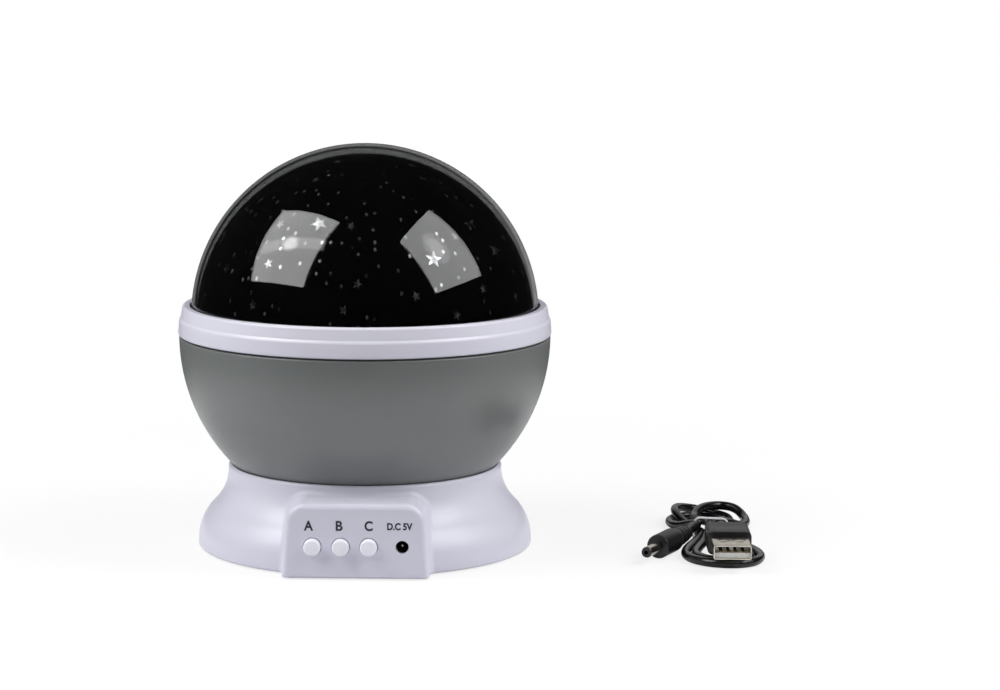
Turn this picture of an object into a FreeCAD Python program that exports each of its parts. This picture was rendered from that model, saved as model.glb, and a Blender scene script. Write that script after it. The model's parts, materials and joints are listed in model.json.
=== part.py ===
import FreeCAD, Part
import math
import os

# Star projector night light: a ball that turns on a flared base, with its USB power lead beside it.
# Millimetres. The origin is on the floor under the middle of the base, +Z is up,
# and the button panel faces -Y.

# ---- driving sizes -------------------------------------------------------------------------

# bowl, the lower half of the ball
bowl_radius = 60.7
bowl_wall = 2.0
bowl_floor_radius = 39.0
rim_above_middle = 0.5
lip_height = 3.0
lip_wall = 0.8

# trim ring round the middle of the ball
ring_proud = 0.3
ring_height = 9.6
ring_step_height = 5.2
ring_step_depth = 0.55
ring_draft = 0.3
ring_shadow_gap = 0.4
ring_top_inset = 1.5
ring_edge_round = 0.8

# clear dome and the star film under it
dome_recess = 2.7
dome_skirt = 0.4
dome_wall = 1.5
film_gap = 1.0
film_wall = 0.6
flange_height = 1.2
retainer_lift = 0.4
retainer_height = 1.2
retainer_width = 3.6
mouth_gap = 0.3

# flared base
foot_proud = 0.3
base_flare = 9.9
base_widest_z = 2.0
base_rim_rise = 3.6
neck_lip_width = 1.33
neck_lip_height = 1.0
base_wall = 2.0
base_edge_round = 0.7
deck_thickness = 2.0
socket_gap = 0.45

# button panel on the front of the base
panel_proud = 2.5
panel_bottom_width = 44.8
panel_top_width = 40.9
panel_top_drop = 2.8
panel_corner_round = 4.1
panel_edge_round = 1.4
panel_wall = 2.0

# buttons, their switches and the power socket
button_radius = 2.7
button_pitch = 8.7
button_first_x = -13.2
button_z = 10.4
button_count = 3
button_proud = 1.6
button_crown = 0.35
button_edge_round = 0.5
button_travel = 0.6
button_flange_width = 0.9
button_flange_thickness = 1.0
switch_size = 6.0
switch_height = 3.1
switch_bore_depth = 2.2
plunger_radius = 1.7
plunger_reach = 1.2
press_gap = 0.3
socket_x = 14.65
socket_hole_radius = 2.05
socket_bore_radius = 1.85
socket_pin_radius = 0.65
socket_size = 7.0
socket_length = 12.0
socket_end_wall = 1.5
board_thickness = 1.6

# bottom plate, feet and battery box
plate_thickness = 2.0
foot_radius = 4.0
foot_inset = 8.8
foot_angle = 52.0
foot_recess = 1.0
post_radius = 3.0
post_angle = 20.0
post_screw_bite = 12.0
cell_diameter = 10.5
cell_length = 44.5
cell_count = 4
cell_room = 0.2
cell_end_room = 1.4
tray_wall = 1.2
tray_headroom = 0.6
tray_motor_gap = 1.8
contact_spring_length = 5.0
contact_spring_radius = 3.4
contact_plate_thickness = 0.6
contact_plate_height = 8.0
contact_plate_gap = 1.2
door_overlap = 2.0
door_thickness = 1.1
door_dip_radius = 5.0

# column, lamp and bearing
column_radius = 6.0
column_bore_radius = 3.6
lamp_below_middle = 13.0
column_foot_radius = 12.0
column_foot_height = 1.5
washer_thickness = 0.5
clip_thickness = 0.7
clip_width = 2.8
clip_mouth = 7.0
clip_groove_depth = 0.7
lamp_radius = 16.0
lamp_plate_thickness = 1.5
lamp_collar_wall = 2.2
lamp_collar_length = 6.5
lamp_screw_inset = 3.0
lamp_board_thickness = 1.6
led_radius = 2.5
led_height = 8.6
led_rim_width = 0.4
led_rim_height = 1.0
led_circle_radius = 7.5
wire_radius = 0.65
wire_hole_gap = 6.7

# gear drive
gear_module = 0.8
gear_teeth = 45
pinion_teeth = 15
gear_width = 3.0
gear_flange_radius = 14.0
gear_flange_height = 1.0
collar_radius = 9.0
collar_height = 10.0
pressure_angle = math.radians(20)
tooth_backlash = 0.08
motor_shaft_radius = 1.5
gearbox_width = 18.0
gearbox_depth = 14.4
gearbox_height = 10.0
gearbox_front = 5.4
gearbox_corner_round = 1.5
gearbox_ear_radius = 2.6
gearbox_ear_thickness = 2.5
motor_boss_length = 1.2
motor_length = 15.0
motor_radius = 6.0

# power lead, lying beside the base: the middle of its tie and the sizes of what is on it
lead_x = 114.8
lead_y = 6.6
cord_radius = 1.5
hank_waist_width = 10.4
hank_waist_height = 6.2
hank_top_lobe_radius = 13.8
hank_top_lobe_y = 24.0
hank_top_height = 9.2
hank_low_lobe_radius = 13.0
hank_low_lobe_x = 2.6
hank_low_lobe_y = -29.5
hank_low_height = 3.15
tie_thickness = 0.8
tie_width = 1.8
dc_grip_radius = 3.9
dc_grip_length = 25.0
dc_relief_length = 10.5
dc_barrel_radius = 1.75
dc_barrel_length = 9.8
dc_barrel_wall = 0.5
dc_tip_length = 0.6
dc_plug_angle = 25.0
dc_plug_start_x = -8.5
dc_plug_start_y = -7.0
usb_x = 3.5
usb_neck_y = -17.8
usb_neck_radius = 2.95
usb_neck_length = 3.9
usb_grip_width = 14.1
usb_grip_length = 16.5
usb_grip_thickness = 7.6
usb_shell_width = 12.0
usb_shell_thickness = 4.5
usb_shell_length = 13.8
usb_shell_wall = 0.35
usb_grip_round = 1.6
usb_window = 2.4
usb_recess = 0.7
usb_contact_pitch = 2.3
usb_contact_width = 1.0
usb_contact_thickness = 0.2

# clearances
turning_gap = 0.06
slide_gap = 0.1
loose_gap = 0.25
screw_radius = 1.0
screw_head_radius = 1.9
screw_head_height = 1.2

# ---- places worked out from the driving sizes ----------------------------------------------

# heights of the base, from the battery box up to the ball
plate_top_z = foot_proud + plate_thickness
bay_top_z = plate_top_z + cell_diameter + 2 * cell_room
deck_bottom_z = bay_top_z + tray_wall + tray_headroom
deck_top_z = deck_bottom_z + deck_thickness
foot_top_z = column_foot_height + deck_top_z
gear_bottom_z = foot_top_z + washer_thickness
gear_top_z = gear_bottom_z + gear_width
bowl_floor_z = gear_top_z + gear_flange_height
collar_top_z = bowl_floor_z + collar_height
clip_bottom_z = collar_top_z + loose_gap
base_top_z = bowl_floor_z + base_rim_rise
neck_z = base_top_z - neck_lip_height
panel_top_z = base_top_z - panel_top_drop

# the ball
bowl_centre_z = bowl_floor_z + math.sqrt(bowl_radius ** 2 - bowl_floor_radius ** 2)
bowl_rim_z = bowl_centre_z + rim_above_middle
column_top_z = bowl_centre_z - lamp_below_middle
lip_top_z = bowl_rim_z + lip_height
lip_inner_radius = bowl_radius - bowl_wall
lip_outer_radius = lip_inner_radius + lip_wall
ring_radius = bowl_radius + ring_proud
ring_top_radius = ring_radius - ring_top_inset
ring_bottom_z = bowl_rim_z + ring_shadow_gap
ring_top_z = ring_bottom_z + ring_height
pocket_radius = lip_inner_radius - loose_gap
flange_radius = pocket_radius - slide_gap
dome_radius = ring_top_radius - dome_recess
film_radius = dome_radius - dome_wall - film_gap
retainer_bottom_z = lip_top_z + retainer_lift
film_flange_z = retainer_bottom_z + retainer_height
dome_flange_z = film_flange_z + film_wall
dome_centre_z = dome_flange_z + dome_skirt

# the base round the ball's foot
socket_radius = bowl_radius + socket_gap
neck_radius = math.sqrt(socket_radius ** 2 - (bowl_centre_z - base_top_z) ** 2) + neck_lip_width
base_radius = neck_radius + base_flare
foot_circle_radius = base_radius - foot_inset
panel_front_y = -base_radius - panel_proud
panel_back_y = panel_front_y + panel_wall
button_flange_back_y = panel_back_y + slide_gap + button_flange_thickness
board_front_y = button_flange_back_y + button_travel + press_gap + switch_height
button_places = [button_first_x + button_pitch * i for i in range(button_count)]

# drive and battery box
centre_distance = gear_module * (gear_teeth + pinion_teeth) / 2
gearbox_front_y = centre_distance - gearbox_front
gear_screw_circle = (collar_radius + gear_flange_radius) / 2 + 0.4
column_screw_circle = (column_radius + column_foot_radius) / 2
bay_width = cell_count * (cell_diameter + cell_room) + 2 * cell_room
bay_length = cell_length + contact_spring_length + contact_plate_thickness + cell_end_room
tray_centre_y = gearbox_front_y - tray_motor_gap - tray_wall - bay_width / 2
tray_front_y = tray_centre_y - bay_width / 2 - tray_wall
wire_hole_y = tray_front_y - wire_hole_gap
door_bottom_z = foot_proud + slide_gap
lamp_board_z = column_top_z + lamp_plate_thickness
lamp_board_top_z = lamp_board_z + lamp_board_thickness

# lead
dc_end = dc_grip_length + dc_barrel_length
usb_z = 2 * cord_radius + loose_gap + usb_grip_thickness / 2
usb_grip_back_y = usb_neck_y - usb_neck_length
usb_grip_front_y = usb_grip_back_y - usb_grip_length
usb_shell_front_y = usb_grip_front_y - usb_shell_length

# anything longer than the whole object, for cuts that go right through
far = 4 * bowl_radius


# ---- small builders ------------------------------------------------------------------------

def vec(x, y, z):
    return FreeCAD.Vector(x, y, z)


def outline(steps, place):
    """Closed face: each step is a point, or a pair of points for an arc through the first to the second."""
    edges = []
    start = here = steps[0]
    for step in list(steps[1:]) + [start]:
        if isinstance(step[0], tuple):
            edges.append(Part.Arc(place(*here), place(*step[0]), place(*step[1])).toShape())
            here = step[1]
        elif math.dist(here, step) > 1e-6:
            edges.append(Part.LineSegment(place(*here), place(*step)).toShape())
            here = step
    return Part.Face(Part.Wire(edges))


def turned(*steps):
    """Solid turned about Z from an outline of (radius, height) steps."""
    face = outline(steps, lambda r, z: vec(r, 0, z))
    return face.revolve(vec(0, 0, 0), vec(0, 0, 1), 360)


def cylinder(radius, low, high, x=0.0, y=0.0):
    return Part.makeCylinder(radius, high - low, vec(x, y, low))


def tube(outer, inner, low, high, x=0.0, y=0.0):
    return cylinder(outer, low, high, x, y).cut(cylinder(inner, low - 1, high + 1, x, y))


def bar_along_y(radius, front, back, x, z):
    return Part.makeCylinder(radius, back - front, vec(x, front, z), vec(0, 1, 0))


def block(x0, x1, y0, y1, z0, z1):
    return Part.makeBox(x1 - x0, y1 - y0, z1 - z0, vec(x0, y0, z0))


def slab(low, high):
    """Everything between two heights."""
    return block(-far, far, -far, far, low, high)


def joined(shapes):
    first = shapes[0]
    return first.multiFuse(shapes[1:]).removeSplitter() if len(shapes) > 1 else first


def ball_point(radius, centre, height):
    """Point (r, z) on a sphere's outline at a height."""
    return (math.sqrt(radius ** 2 - (height - centre) ** 2), height)


def ball_arc(radius, centre, low, high):
    """The arc of a sphere's outline from one height to another, as an outline step."""
    a = math.asin((low - centre) / radius)
    b = math.asin((high - centre) / radius)
    mid = (a + b) / 2
    return ((radius * math.cos(mid), centre + radius * math.sin(mid)),
            (radius * math.cos(b), centre + radius * math.sin(b)))


def around(circle_radius, angles):
    for angle in angles:
        yield circle_radius * math.cos(math.radians(angle)), circle_radius * math.sin(math.radians(angle))


def four_ways(angle):
    """One angle mirrored into the four quarters of the base."""
    return (angle, 180 - angle, 180 + angle, 360 - angle)


def edges_where(shape, test):
    return [edge for edge in shape.Edges if test(edge)]


def screw(x, y, head_low, tip, head_up=True):
    """Pan-head screw: its head stands on head_low, or hangs from it, and its shank ends at tip."""
    head_high = head_low + (screw_head_height if head_up else -screw_head_height)
    head = cylinder(screw_head_radius, min(head_low, head_high), max(head_low, head_high), x, y)
    shank = cylinder(screw_radius, min(head_low, tip), max(head_low, tip), x, y)
    return joined([head, shank])


# ---- base ----------------------------------------------------------------------------------

def flare(inset):
    """The base's ogee: two equal arcs with upright ends, moved inwards by inset."""
    rise = neck_z - base_widest_z
    run = base_radius - neck_radius
    sweep = (run ** 2 + rise ** 2) / (4 * run)
    half_turn = math.asin(rise / 2 / sweep)
    low_centre = base_radius - sweep
    high_centre = neck_radius + sweep
    low = sweep - inset
    high = sweep + inset

    def on_low(turn):
        return (low_centre + low * math.cos(turn), base_widest_z + low * math.sin(turn))

    def on_high(turn):
        return (high_centre - high * math.cos(turn), neck_z - high * math.sin(turn))

    return turned((0, foot_proud), (on_low(0)[0], foot_proud), on_low(0),
                  (on_low(half_turn / 2), on_low(half_turn)),
                  (on_high(half_turn / 2), on_high(0)),
                  (on_high(0)[0], base_top_z), (0, base_top_z))


def panel_block(inset, back_y):
    """The panel's tapered block, drawn from the front and pushed back to back_y."""
    low = panel_bottom_width / 2 - inset
    high = panel_top_width / 2 - inset
    top = panel_top_z - inset
    front = panel_front_y + inset
    face = outline([(-low, foot_proud), (low, foot_proud), (high, top), (-high, top)],
                   lambda x, z: vec(x, front, z))
    solid = face.extrude(vec(0, back_y - front, 0))
    corners = edges_where(solid, lambda e: e.BoundBox.YLength > 1 and e.BoundBox.ZMin > top - 0.01)
    solid = solid.makeFillet(panel_corner_round - inset / 2, corners)
    if inset == 0:
        rim = edges_where(solid, lambda e: e.BoundBox.YMax < front + 0.01 and e.BoundBox.ZMax > foot_proud + 1)
        solid = solid.makeFillet(panel_edge_round, rim)
    return solid


def posts():
    return list(around(neck_radius, four_ways(post_angle)))


def base_housing():
    body = flare(0)
    foot_edge = edges_where(body, lambda e: e.BoundBox.ZMax < foot_proud + 0.01 and e.BoundBox.XMax > base_radius / 2)
    body = body.makeFillet(base_edge_round, foot_edge)
    body = body.fuse(panel_block(0, -neck_radius + base_wall))
    room = flare(base_wall)
    under_deck = slab(-far, deck_bottom_z)
    below = room.common(under_deck)
    above = room.common(slab(deck_top_z, far))
    socket = Part.makeSphere(socket_radius, vec(0, 0, bowl_centre_z)).common(slab(bowl_floor_z, far))
    panel_room = panel_block(panel_wall, -neck_radius - base_wall)
    way_in = panel_block(panel_wall, -column_foot_radius).common(under_deck)
    body = body.cut(joined([below, panel_room, way_in])).cut(above).cut(socket)
    body = body.fuse([cylinder(post_radius, plate_top_z, deck_bottom_z + 0.5, x, y) for x, y in posts()])
    holes = [bar_along_y(button_radius + slide_gap, panel_front_y - 1, panel_back_y + 1, x, button_z)
             for x in button_places]
    holes.append(bar_along_y(socket_hole_radius, panel_front_y - 1, panel_back_y + 1, socket_x, button_z))
    holes.append(cylinder(motor_shaft_radius * 2, deck_bottom_z - 1, deck_top_z + 1, 0, centre_distance))
    holes.append(cylinder(wire_radius * 2, deck_bottom_z - 1, deck_top_z + 1, 0, wire_hole_y))
    holes += [cylinder(screw_radius + turning_gap, plate_top_z - 1, post_screw_tip() + 1, x, y) for x, y in posts()]
    holes += [cylinder(screw_radius + turning_gap, deck_bottom_z - 1, deck_top_z + 1, x, y)
              for x, y in column_screw_places()]
    holes += [cylinder(screw_radius + turning_gap, deck_bottom_z - 1, deck_top_z - deck_thickness / 4, x, y)
              for x, y in gearbox_ears()]
    return body.cut(holes)


def feet_places():
    return list(around(foot_circle_radius, four_ways(foot_angle)))


def post_screw_seat():
    return foot_proud + screw_head_height + slide_gap


def post_screw_tip():
    return min(post_screw_seat() + post_screw_bite, deck_bottom_z - 2)


def bay_box(grow, low, high):
    """The battery bay's outline grown by a margin."""
    half_length = bay_length / 2 + grow
    half_width = bay_width / 2 + grow
    return block(-half_length, half_length, tray_centre_y - half_width, tray_centre_y + half_width, low, high)


def base_plate():
    disc = cylinder(base_radius - base_wall - loose_gap, foot_proud, plate_top_z)
    tongue = panel_block(panel_wall + loose_gap, 0).common(slab(foot_proud, plate_top_z))
    plate = joined([disc, tongue])
    cuts = [bay_box(0, 0, far), bay_box(door_overlap + loose_gap, -1, door_bottom_z + door_thickness)]
    for x, y in feet_places():
        cuts.append(cylinder(foot_radius + slide_gap, -1, foot_proud + foot_recess, x, y))
    for x, y in posts():
        cuts.append(cylinder(screw_radius + 2 * slide_gap, -1, far, x, y))
        cuts.append(cylinder(screw_head_radius + loose_gap, -1, post_screw_seat(), x, y))
    return plate.cut(cuts)


def rubber_feet():
    return Part.makeCompound([cylinder(foot_radius, 0, foot_proud + foot_recess, x, y) for x, y in feet_places()])


def base_screws():
    seat = post_screw_seat()
    return Part.makeCompound([screw(x, y, seat, post_screw_tip(), head_up=False) for x, y in posts()])


def battery_tray():
    shell = bay_box(tray_wall, plate_top_z, bay_top_z + tray_wall)
    return shell.cut(bay_box(0, plate_top_z - 1, bay_top_z))


def battery_contacts():
    """A cone spring at one end of each cell and a flat plate at the other, in turn."""
    pitch = cell_diameter + cell_room
    height = plate_top_z + cell_room + cell_diameter / 2
    tall = contact_plate_height / 2
    solids = []
    for i in range(cell_count):
        y = tray_centre_y + (i - (cell_count - 1) / 2) * pitch
        side = 1 if i % 2 else -1
        wall_x = side * bay_length / 2
        half = (pitch - contact_plate_gap) / 2
        for end in (-1, 1):
            x = end * bay_length / 2
            near, beyond = sorted((x, x - end * contact_plate_thickness))
            plate = block(near, beyond, y - half, y + half, height - tall, height + tall)
            if end == side:
                coil = spring_cone().copy()
                coil.rotate(vec(0, 0, 0), vec(0, 1, 0), -90 * side)
                coil.translate(vec(wall_x - side * contact_plate_thickness, y, height))
                plate = plate.fuse(coil)
            solids.append(plate)
    return Part.makeCompound(solids)


def spring_cone():
    """Three turns narrowing upwards, each a short cone, for the wound cone of a battery spring."""
    turns = 3
    step = (contact_spring_length - contact_plate_thickness) / turns
    inset = contact_spring_radius / 5
    wide = [contact_spring_radius - inset * i for i in range(turns)]
    return joined([Part.makeCone(r, r - 0.75 * inset, step, vec(0, 0, i * step)) for i, r in enumerate(wide)])


def battery_door():
    door = bay_box(door_overlap, door_bottom_z, door_bottom_z + door_thickness)
    finger_dip = cylinder(door_dip_radius, 0, door_bottom_z + door_thickness / 3,
                          bay_length / 2 + door_overlap / 2, tray_centre_y)
    return door.cut(finger_dip)


def control_board():
    half = panel_top_width / 2 - panel_wall - loose_gap
    board = block(-half, half, board_front_y, board_front_y + board_thickness,
                  plate_top_z, panel_top_z - panel_wall - panel_corner_round / 2)
    reach = socket_size / 2 + loose_gap
    return board.cut(block(socket_x - reach, far, -far, 0, button_z - reach, button_z + reach))


def switch_bodies():
    half = switch_size / 2
    front = board_front_y - switch_height
    solids = []
    for x in button_places:
        body = block(x - half, x + half, front, board_front_y, button_z - half, button_z + half)
        solids.append(body.cut(bar_along_y(plunger_radius + slide_gap, front - 1, front + switch_bore_depth, x, button_z)))
    return Part.makeCompound(solids)


def dc_socket_body():
    half = socket_size / 2
    front = panel_back_y + slide_gap
    body = block(socket_x - half, socket_x + half, front, front + socket_length, button_z - half, button_z + half)
    bore_end = front + socket_length - socket_end_wall
    return body.cut(bar_along_y(socket_bore_radius, front - 1, bore_end, socket_x, button_z))


def dc_socket_pin():
    front = panel_back_y + socket_pin_radius
    back = panel_back_y + slide_gap + socket_length - socket_end_wall
    pin = bar_along_y(socket_pin_radius, front + socket_pin_radius, back, socket_x, button_z)
    nose = Part.makeSphere(socket_pin_radius, vec(socket_x, front + socket_pin_radius, button_z))
    return joined([pin, nose])


def button_cap(x):
    """Turned cap with a low crown, and the flange that keeps it behind the panel."""
    flange_front = panel_back_y + slide_gap
    tip = panel_front_y - button_proud
    cap = turned((0, -button_flange_back_y), (button_radius + button_flange_width, -button_flange_back_y),
                 (button_radius + button_flange_width, -flange_front), (button_radius, -flange_front),
                 (button_radius, -tip - button_crown - button_edge_round),
                 (button_radius - button_edge_round, -tip - button_crown), (0, -tip))
    cap.rotate(vec(0, 0, 0), vec(1, 0, 0), 90)
    cap.translate(vec(x, 0, button_z))
    return cap


def plunger(x):
    front = button_flange_back_y
    return bar_along_y(plunger_radius, front, front + button_travel + press_gap + plunger_reach, x, button_z)


# ---- gear motor ----------------------------------------------------------------------------

def gearbox_ears():
    return [(-gearbox_width / 2 - gearbox_ear_radius, centre_distance + screw_head_radius),
            (0, gearbox_front_y + gearbox_depth + gearbox_ear_radius)]


def gearbox_case():
    half = gearbox_width / 2
    low = deck_bottom_z - gearbox_height
    case = block(-half, half, gearbox_front_y, gearbox_front_y + gearbox_depth, low, deck_bottom_z)
    upright = edges_where(case, lambda e: e.BoundBox.ZLength > 1)
    case = case.makeFillet(gearbox_corner_round, upright)
    (side_x, side_y), (back_x, back_y) = gearbox_ears()
    ear = gearbox_ear_radius
    ear_low = deck_bottom_z - gearbox_ear_thickness
    ears = [block(side_x, 0, side_y - ear, side_y + ear, ear_low, deck_bottom_z),
            cylinder(ear, ear_low, deck_bottom_z, side_x, side_y),
            block(back_x - ear, back_x + ear, centre_distance, back_y, ear_low, deck_bottom_z),
            cylinder(ear, ear_low, deck_bottom_z, back_x, back_y)]
    case = joined([case] + ears)
    holes = [cylinder(screw_radius + slide_gap, ear_low - 1, deck_bottom_z + 1, x, y) for x, y in gearbox_ears()]
    holes.append(cylinder(motor_shaft_radius + turning_gap, motor_shaft_low(), deck_bottom_z + 1, 0, centre_distance))
    return case.cut(holes)


def motor_shaft_low():
    return deck_bottom_z - 0.7 * gearbox_height


def motor_middle():
    """Middle of the motor's axis in Y and Z."""
    return gearbox_front_y + gearbox_depth / 2, deck_bottom_z - gearbox_height / 2


def motor_can():
    """Round can with flats above and below, and a small bearing boss on its end."""
    half = gearbox_width / 2
    y, z = motor_middle()
    flat = gearbox_height / 2
    can = Part.makeCylinder(motor_radius, motor_length, vec(half, y, z), vec(1, 0, 0)).common(slab(z - flat, z + flat))
    boss = Part.makeCylinder(motor_radius / 3, motor_boss_length, vec(half + motor_length, y, z), vec(1, 0, 0))
    return joined([can, boss])


def motor_screws():
    seat = deck_bottom_z - gearbox_ear_thickness
    tip = deck_top_z - deck_thickness / 3
    return Part.makeCompound([screw(x, y, seat, tip, head_up=False) for x, y in gearbox_ears()])


def motor_shaft():
    return cylinder(motor_shaft_radius, motor_shaft_low() + slide_gap, gear_top_z + 0.5, 0, centre_distance)


def spur_outline(teeth, phase):
    """Involute teeth as an outline: root, two flanks of four points and tip, once per tooth."""
    pitch_radius = gear_module * teeth / 2
    base = pitch_radius * math.cos(pressure_angle)
    tip = pitch_radius + 0.9 * gear_module
    root = pitch_radius - 1.25 * gear_module

    def half_width(radius):
        lean = math.acos(min(1.0, base / radius))
        start = math.tan(pressure_angle) - pressure_angle
        return math.pi / 2 / teeth + start - (math.tan(lean) - lean) - tooth_backlash / pitch_radius

    low = max(base, root)
    flank = [root] + [low + (tip - low) * i / 3 for i in range(4)]
    points = []
    for tooth in range(teeth):
        middle = phase + 2 * math.pi * tooth / teeth
        for radius in flank:
            turn = middle - half_width(max(radius, low))
            points.append((radius * math.cos(turn), radius * math.sin(turn)))
        for radius in reversed(flank):
            turn = middle + half_width(max(radius, low))
            points.append((radius * math.cos(turn), radius * math.sin(turn)))
    return points


def spur_gear(teeth, low, high, phase):
    face = outline(spur_outline(teeth, phase), lambda x, y: vec(x, y, low))
    return face.extrude(vec(0, 0, high - low))


def motor_pinion():
    gap_towards_gear = -math.pi / 2 + math.pi / pinion_teeth
    pinion = spur_gear(pinion_teeth, gear_bottom_z - 0.2, gear_top_z + 0.2, gap_towards_gear)
    pinion.translate(vec(0, centre_distance, 0))
    return pinion.cut(cylinder(motor_shaft_radius + 0.02, 0, far, 0, centre_distance))


def gear_screw_places():
    return list(around(gear_screw_circle, (30, 150, 270)))


def hub_gear():
    gear = spur_gear(gear_teeth, gear_bottom_z, gear_top_z, math.pi / 2)
    flange = cylinder(gear_flange_radius, gear_top_z, bowl_floor_z)
    collar = cylinder(collar_radius, gear_top_z, collar_top_z)
    hub = joined([gear, flange, collar])
    cuts = [cylinder(column_radius + turning_gap, 0, far)]
    cuts += [cylinder(screw_radius + turning_gap, gear_screw_tip() - 0.5, bowl_floor_z, x, y)
             for x, y in gear_screw_places()]
    return hub.cut(cuts)


def gear_screw_tip():
    return gear_bottom_z + gear_width / 2


def gear_screws():
    top = bowl_floor_z + bowl_wall
    return Part.makeCompound([screw(x, y, top, gear_screw_tip()) for x, y in gear_screw_places()])


# ---- column and lamp -----------------------------------------------------------------------

def column_screw_places():
    return list(around(column_screw_circle, (90, 210, 330)))


def column():
    tower = tube(column_radius, column_bore_radius, deck_top_z, column_top_z)
    foot = tube(column_foot_radius, column_bore_radius, deck_top_z, foot_top_z)
    body = joined([tower, foot])
    groove = tube(column_radius + 1, column_radius - clip_groove_depth,
                  clip_bottom_z - turning_gap, clip_bottom_z + clip_thickness + turning_gap)
    channel = block(-1.5 * wire_radius, 1.5 * wire_radius, -column_foot_radius - 1, 0, deck_top_z - 1, foot_top_z)
    sunk = [sunk_screw(x, y, turning_gap) for x, y in column_screw_places()]
    return body.cut([groove, channel] + sunk)


def sunk_screw(x, y, grow):
    head_low = foot_top_z - (screw_head_radius - screw_radius)
    head = Part.makeCone(screw_radius + grow, screw_head_radius + grow, foot_top_z - head_low, vec(x, y, head_low))
    shank = cylinder(screw_radius + grow, deck_bottom_z + 0.2, head_low, x, y)
    return joined([head, shank])


def column_screws():
    return Part.makeCompound([sunk_screw(x, y, 0) for x, y in column_screw_places()])


def thrust_washer():
    return tube(column_foot_radius - 0.5, column_radius + slide_gap, foot_top_z, gear_bottom_z)


def retaining_clip():
    inner = column_radius - clip_groove_depth + turning_gap
    clip = tube(inner + clip_width, inner, clip_bottom_z, clip_bottom_z + clip_thickness)
    return clip.cut(block(0, far, -clip_mouth / 2, clip_mouth / 2, 0, far))


def lamp_screw_places():
    return list(around(lamp_radius - lamp_screw_inset, (0, 180)))


def lamp_holder():
    plate = cylinder(lamp_radius, column_top_z, lamp_board_z)
    collar = cylinder(column_radius + lamp_collar_wall, column_top_z - lamp_collar_length, column_top_z)
    cuts = [cylinder(column_radius + slide_gap, 0, column_top_z), cylinder(column_bore_radius, 0, far)]
    cuts += [cylinder(screw_radius + turning_gap, 0, far, x, y) for x, y in lamp_screw_places()]
    return joined([plate, collar]).cut(cuts)


def lamp_board():
    board = cylinder(lamp_radius - slide_gap, lamp_board_z, lamp_board_top_z)
    return board.cut([cylinder(screw_radius + slide_gap, 0, far, x, y) for x, y in lamp_screw_places()])


def lamp_leds():
    low = lamp_board_top_z
    rim = led_radius + led_rim_width
    dome_z = low + led_height - led_radius
    slant = led_radius * math.sqrt(0.5)
    leds = []
    for x, y in around(led_circle_radius, four_ways(45)):
        body = turned((0, low), (rim, low), (rim, low + led_rim_height), (led_radius, low + led_rim_height),
                      (led_radius, dome_z), ((slant, dome_z + slant), (0, low + led_height)))
        body.translate(vec(x, y, 0))
        leds.append(body)
    return Part.makeCompound(leds)


def lamp_screws():
    tip = column_top_z + lamp_plate_thickness / 5
    return Part.makeCompound([screw(x, y, lamp_board_top_z, tip) for x, y in lamp_screw_places()])


def lamp_wires():
    """Wires from the lamp board down the column, along the deck and down to the control board."""
    run_z = deck_top_z + wire_radius + slide_gap
    low_z = button_z + 2.5 * wire_radius
    corners = [vec(0, 0, lamp_board_z), vec(0, 0, run_z), vec(0, wire_hole_y, run_z),
               vec(0, wire_hole_y, low_z), vec(0, board_front_y + board_thickness, low_z)]
    return swept_tube(corners, 3 * wire_radius, wire_radius)


def wires_round_tray(start, side):
    """Wires from a point beside the battery box, round its corner and on to the control board."""
    side_x = side * (bay_length / 2 + tray_wall + 6 * wire_radius)
    turn_y = tray_front_y - 6 * wire_radius
    board_x = side * (socket_x - socket_size)
    corners = [start, vec(side_x, start.y, start.z), vec(side_x, turn_y, start.z), vec(board_x, turn_y, start.z),
               vec(board_x, board_front_y + board_thickness, start.z)]
    return swept_tube(corners, 3 * wire_radius, wire_radius)


def motor_wires():
    y, z = motor_middle()
    return wires_round_tray(vec(gearbox_width / 2 + motor_length + motor_boss_length, y, z), 1)


def battery_wires():
    height = plate_top_z + cell_room + cell_diameter / 2
    first_cell_y = tray_centre_y - (cell_count - 1) / 2 * (cell_diameter + cell_room)
    return wires_round_tray(vec(-bay_length / 2 - tray_wall, first_cell_y, height), -1)


def swept_tube(corners, bend, radius):
    """Round tube of straight runs joined by elbows of one bend radius."""
    parts = []
    here = corners[0]
    for before, corner, after in zip(corners, corners[1:], corners[2:]):
        back = (before - corner).normalize()
        ahead = (after - corner).normalize()
        half_turn = (math.pi - back.getAngle(ahead)) / 2
        into = corner + back * (bend * math.tan(half_turn))
        centre = corner + (back + ahead).normalize() * (bend / math.cos(half_turn))
        parts.append(Part.makeCylinder(radius, (into - here).Length, here, into - here))
        section = Part.Face(Part.Wire(Part.makeCircle(radius, into, back)))
        parts.append(section.revolve(centre, ahead.cross(back), math.degrees(2 * half_turn)))
        here = corner + ahead * (bend * math.tan(half_turn))
    parts.append(Part.makeCylinder(radius, (corners[-1] - here).Length, here, corners[-1] - here))
    return joined(parts)


# ---- ball ----------------------------------------------------------------------------------

def bowl():
    floor_top = bowl_floor_z + bowl_wall
    hole = collar_radius + slide_gap
    shell = turned((hole, bowl_floor_z),
                   ball_point(bowl_radius, bowl_centre_z, bowl_floor_z),
                   ball_arc(bowl_radius, bowl_centre_z, bowl_floor_z, bowl_rim_z),
                   (lip_outer_radius, bowl_rim_z), (lip_outer_radius, lip_top_z),
                   (lip_inner_radius, lip_top_z), (lip_inner_radius, bowl_centre_z),
                   ball_arc(lip_inner_radius, bowl_centre_z, bowl_centre_z, floor_top), (hole, floor_top))
    return shell.cut([cylinder(screw_radius + slide_gap, 0, floor_top + 1, x, y) for x, y in gear_screw_places()])


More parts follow.
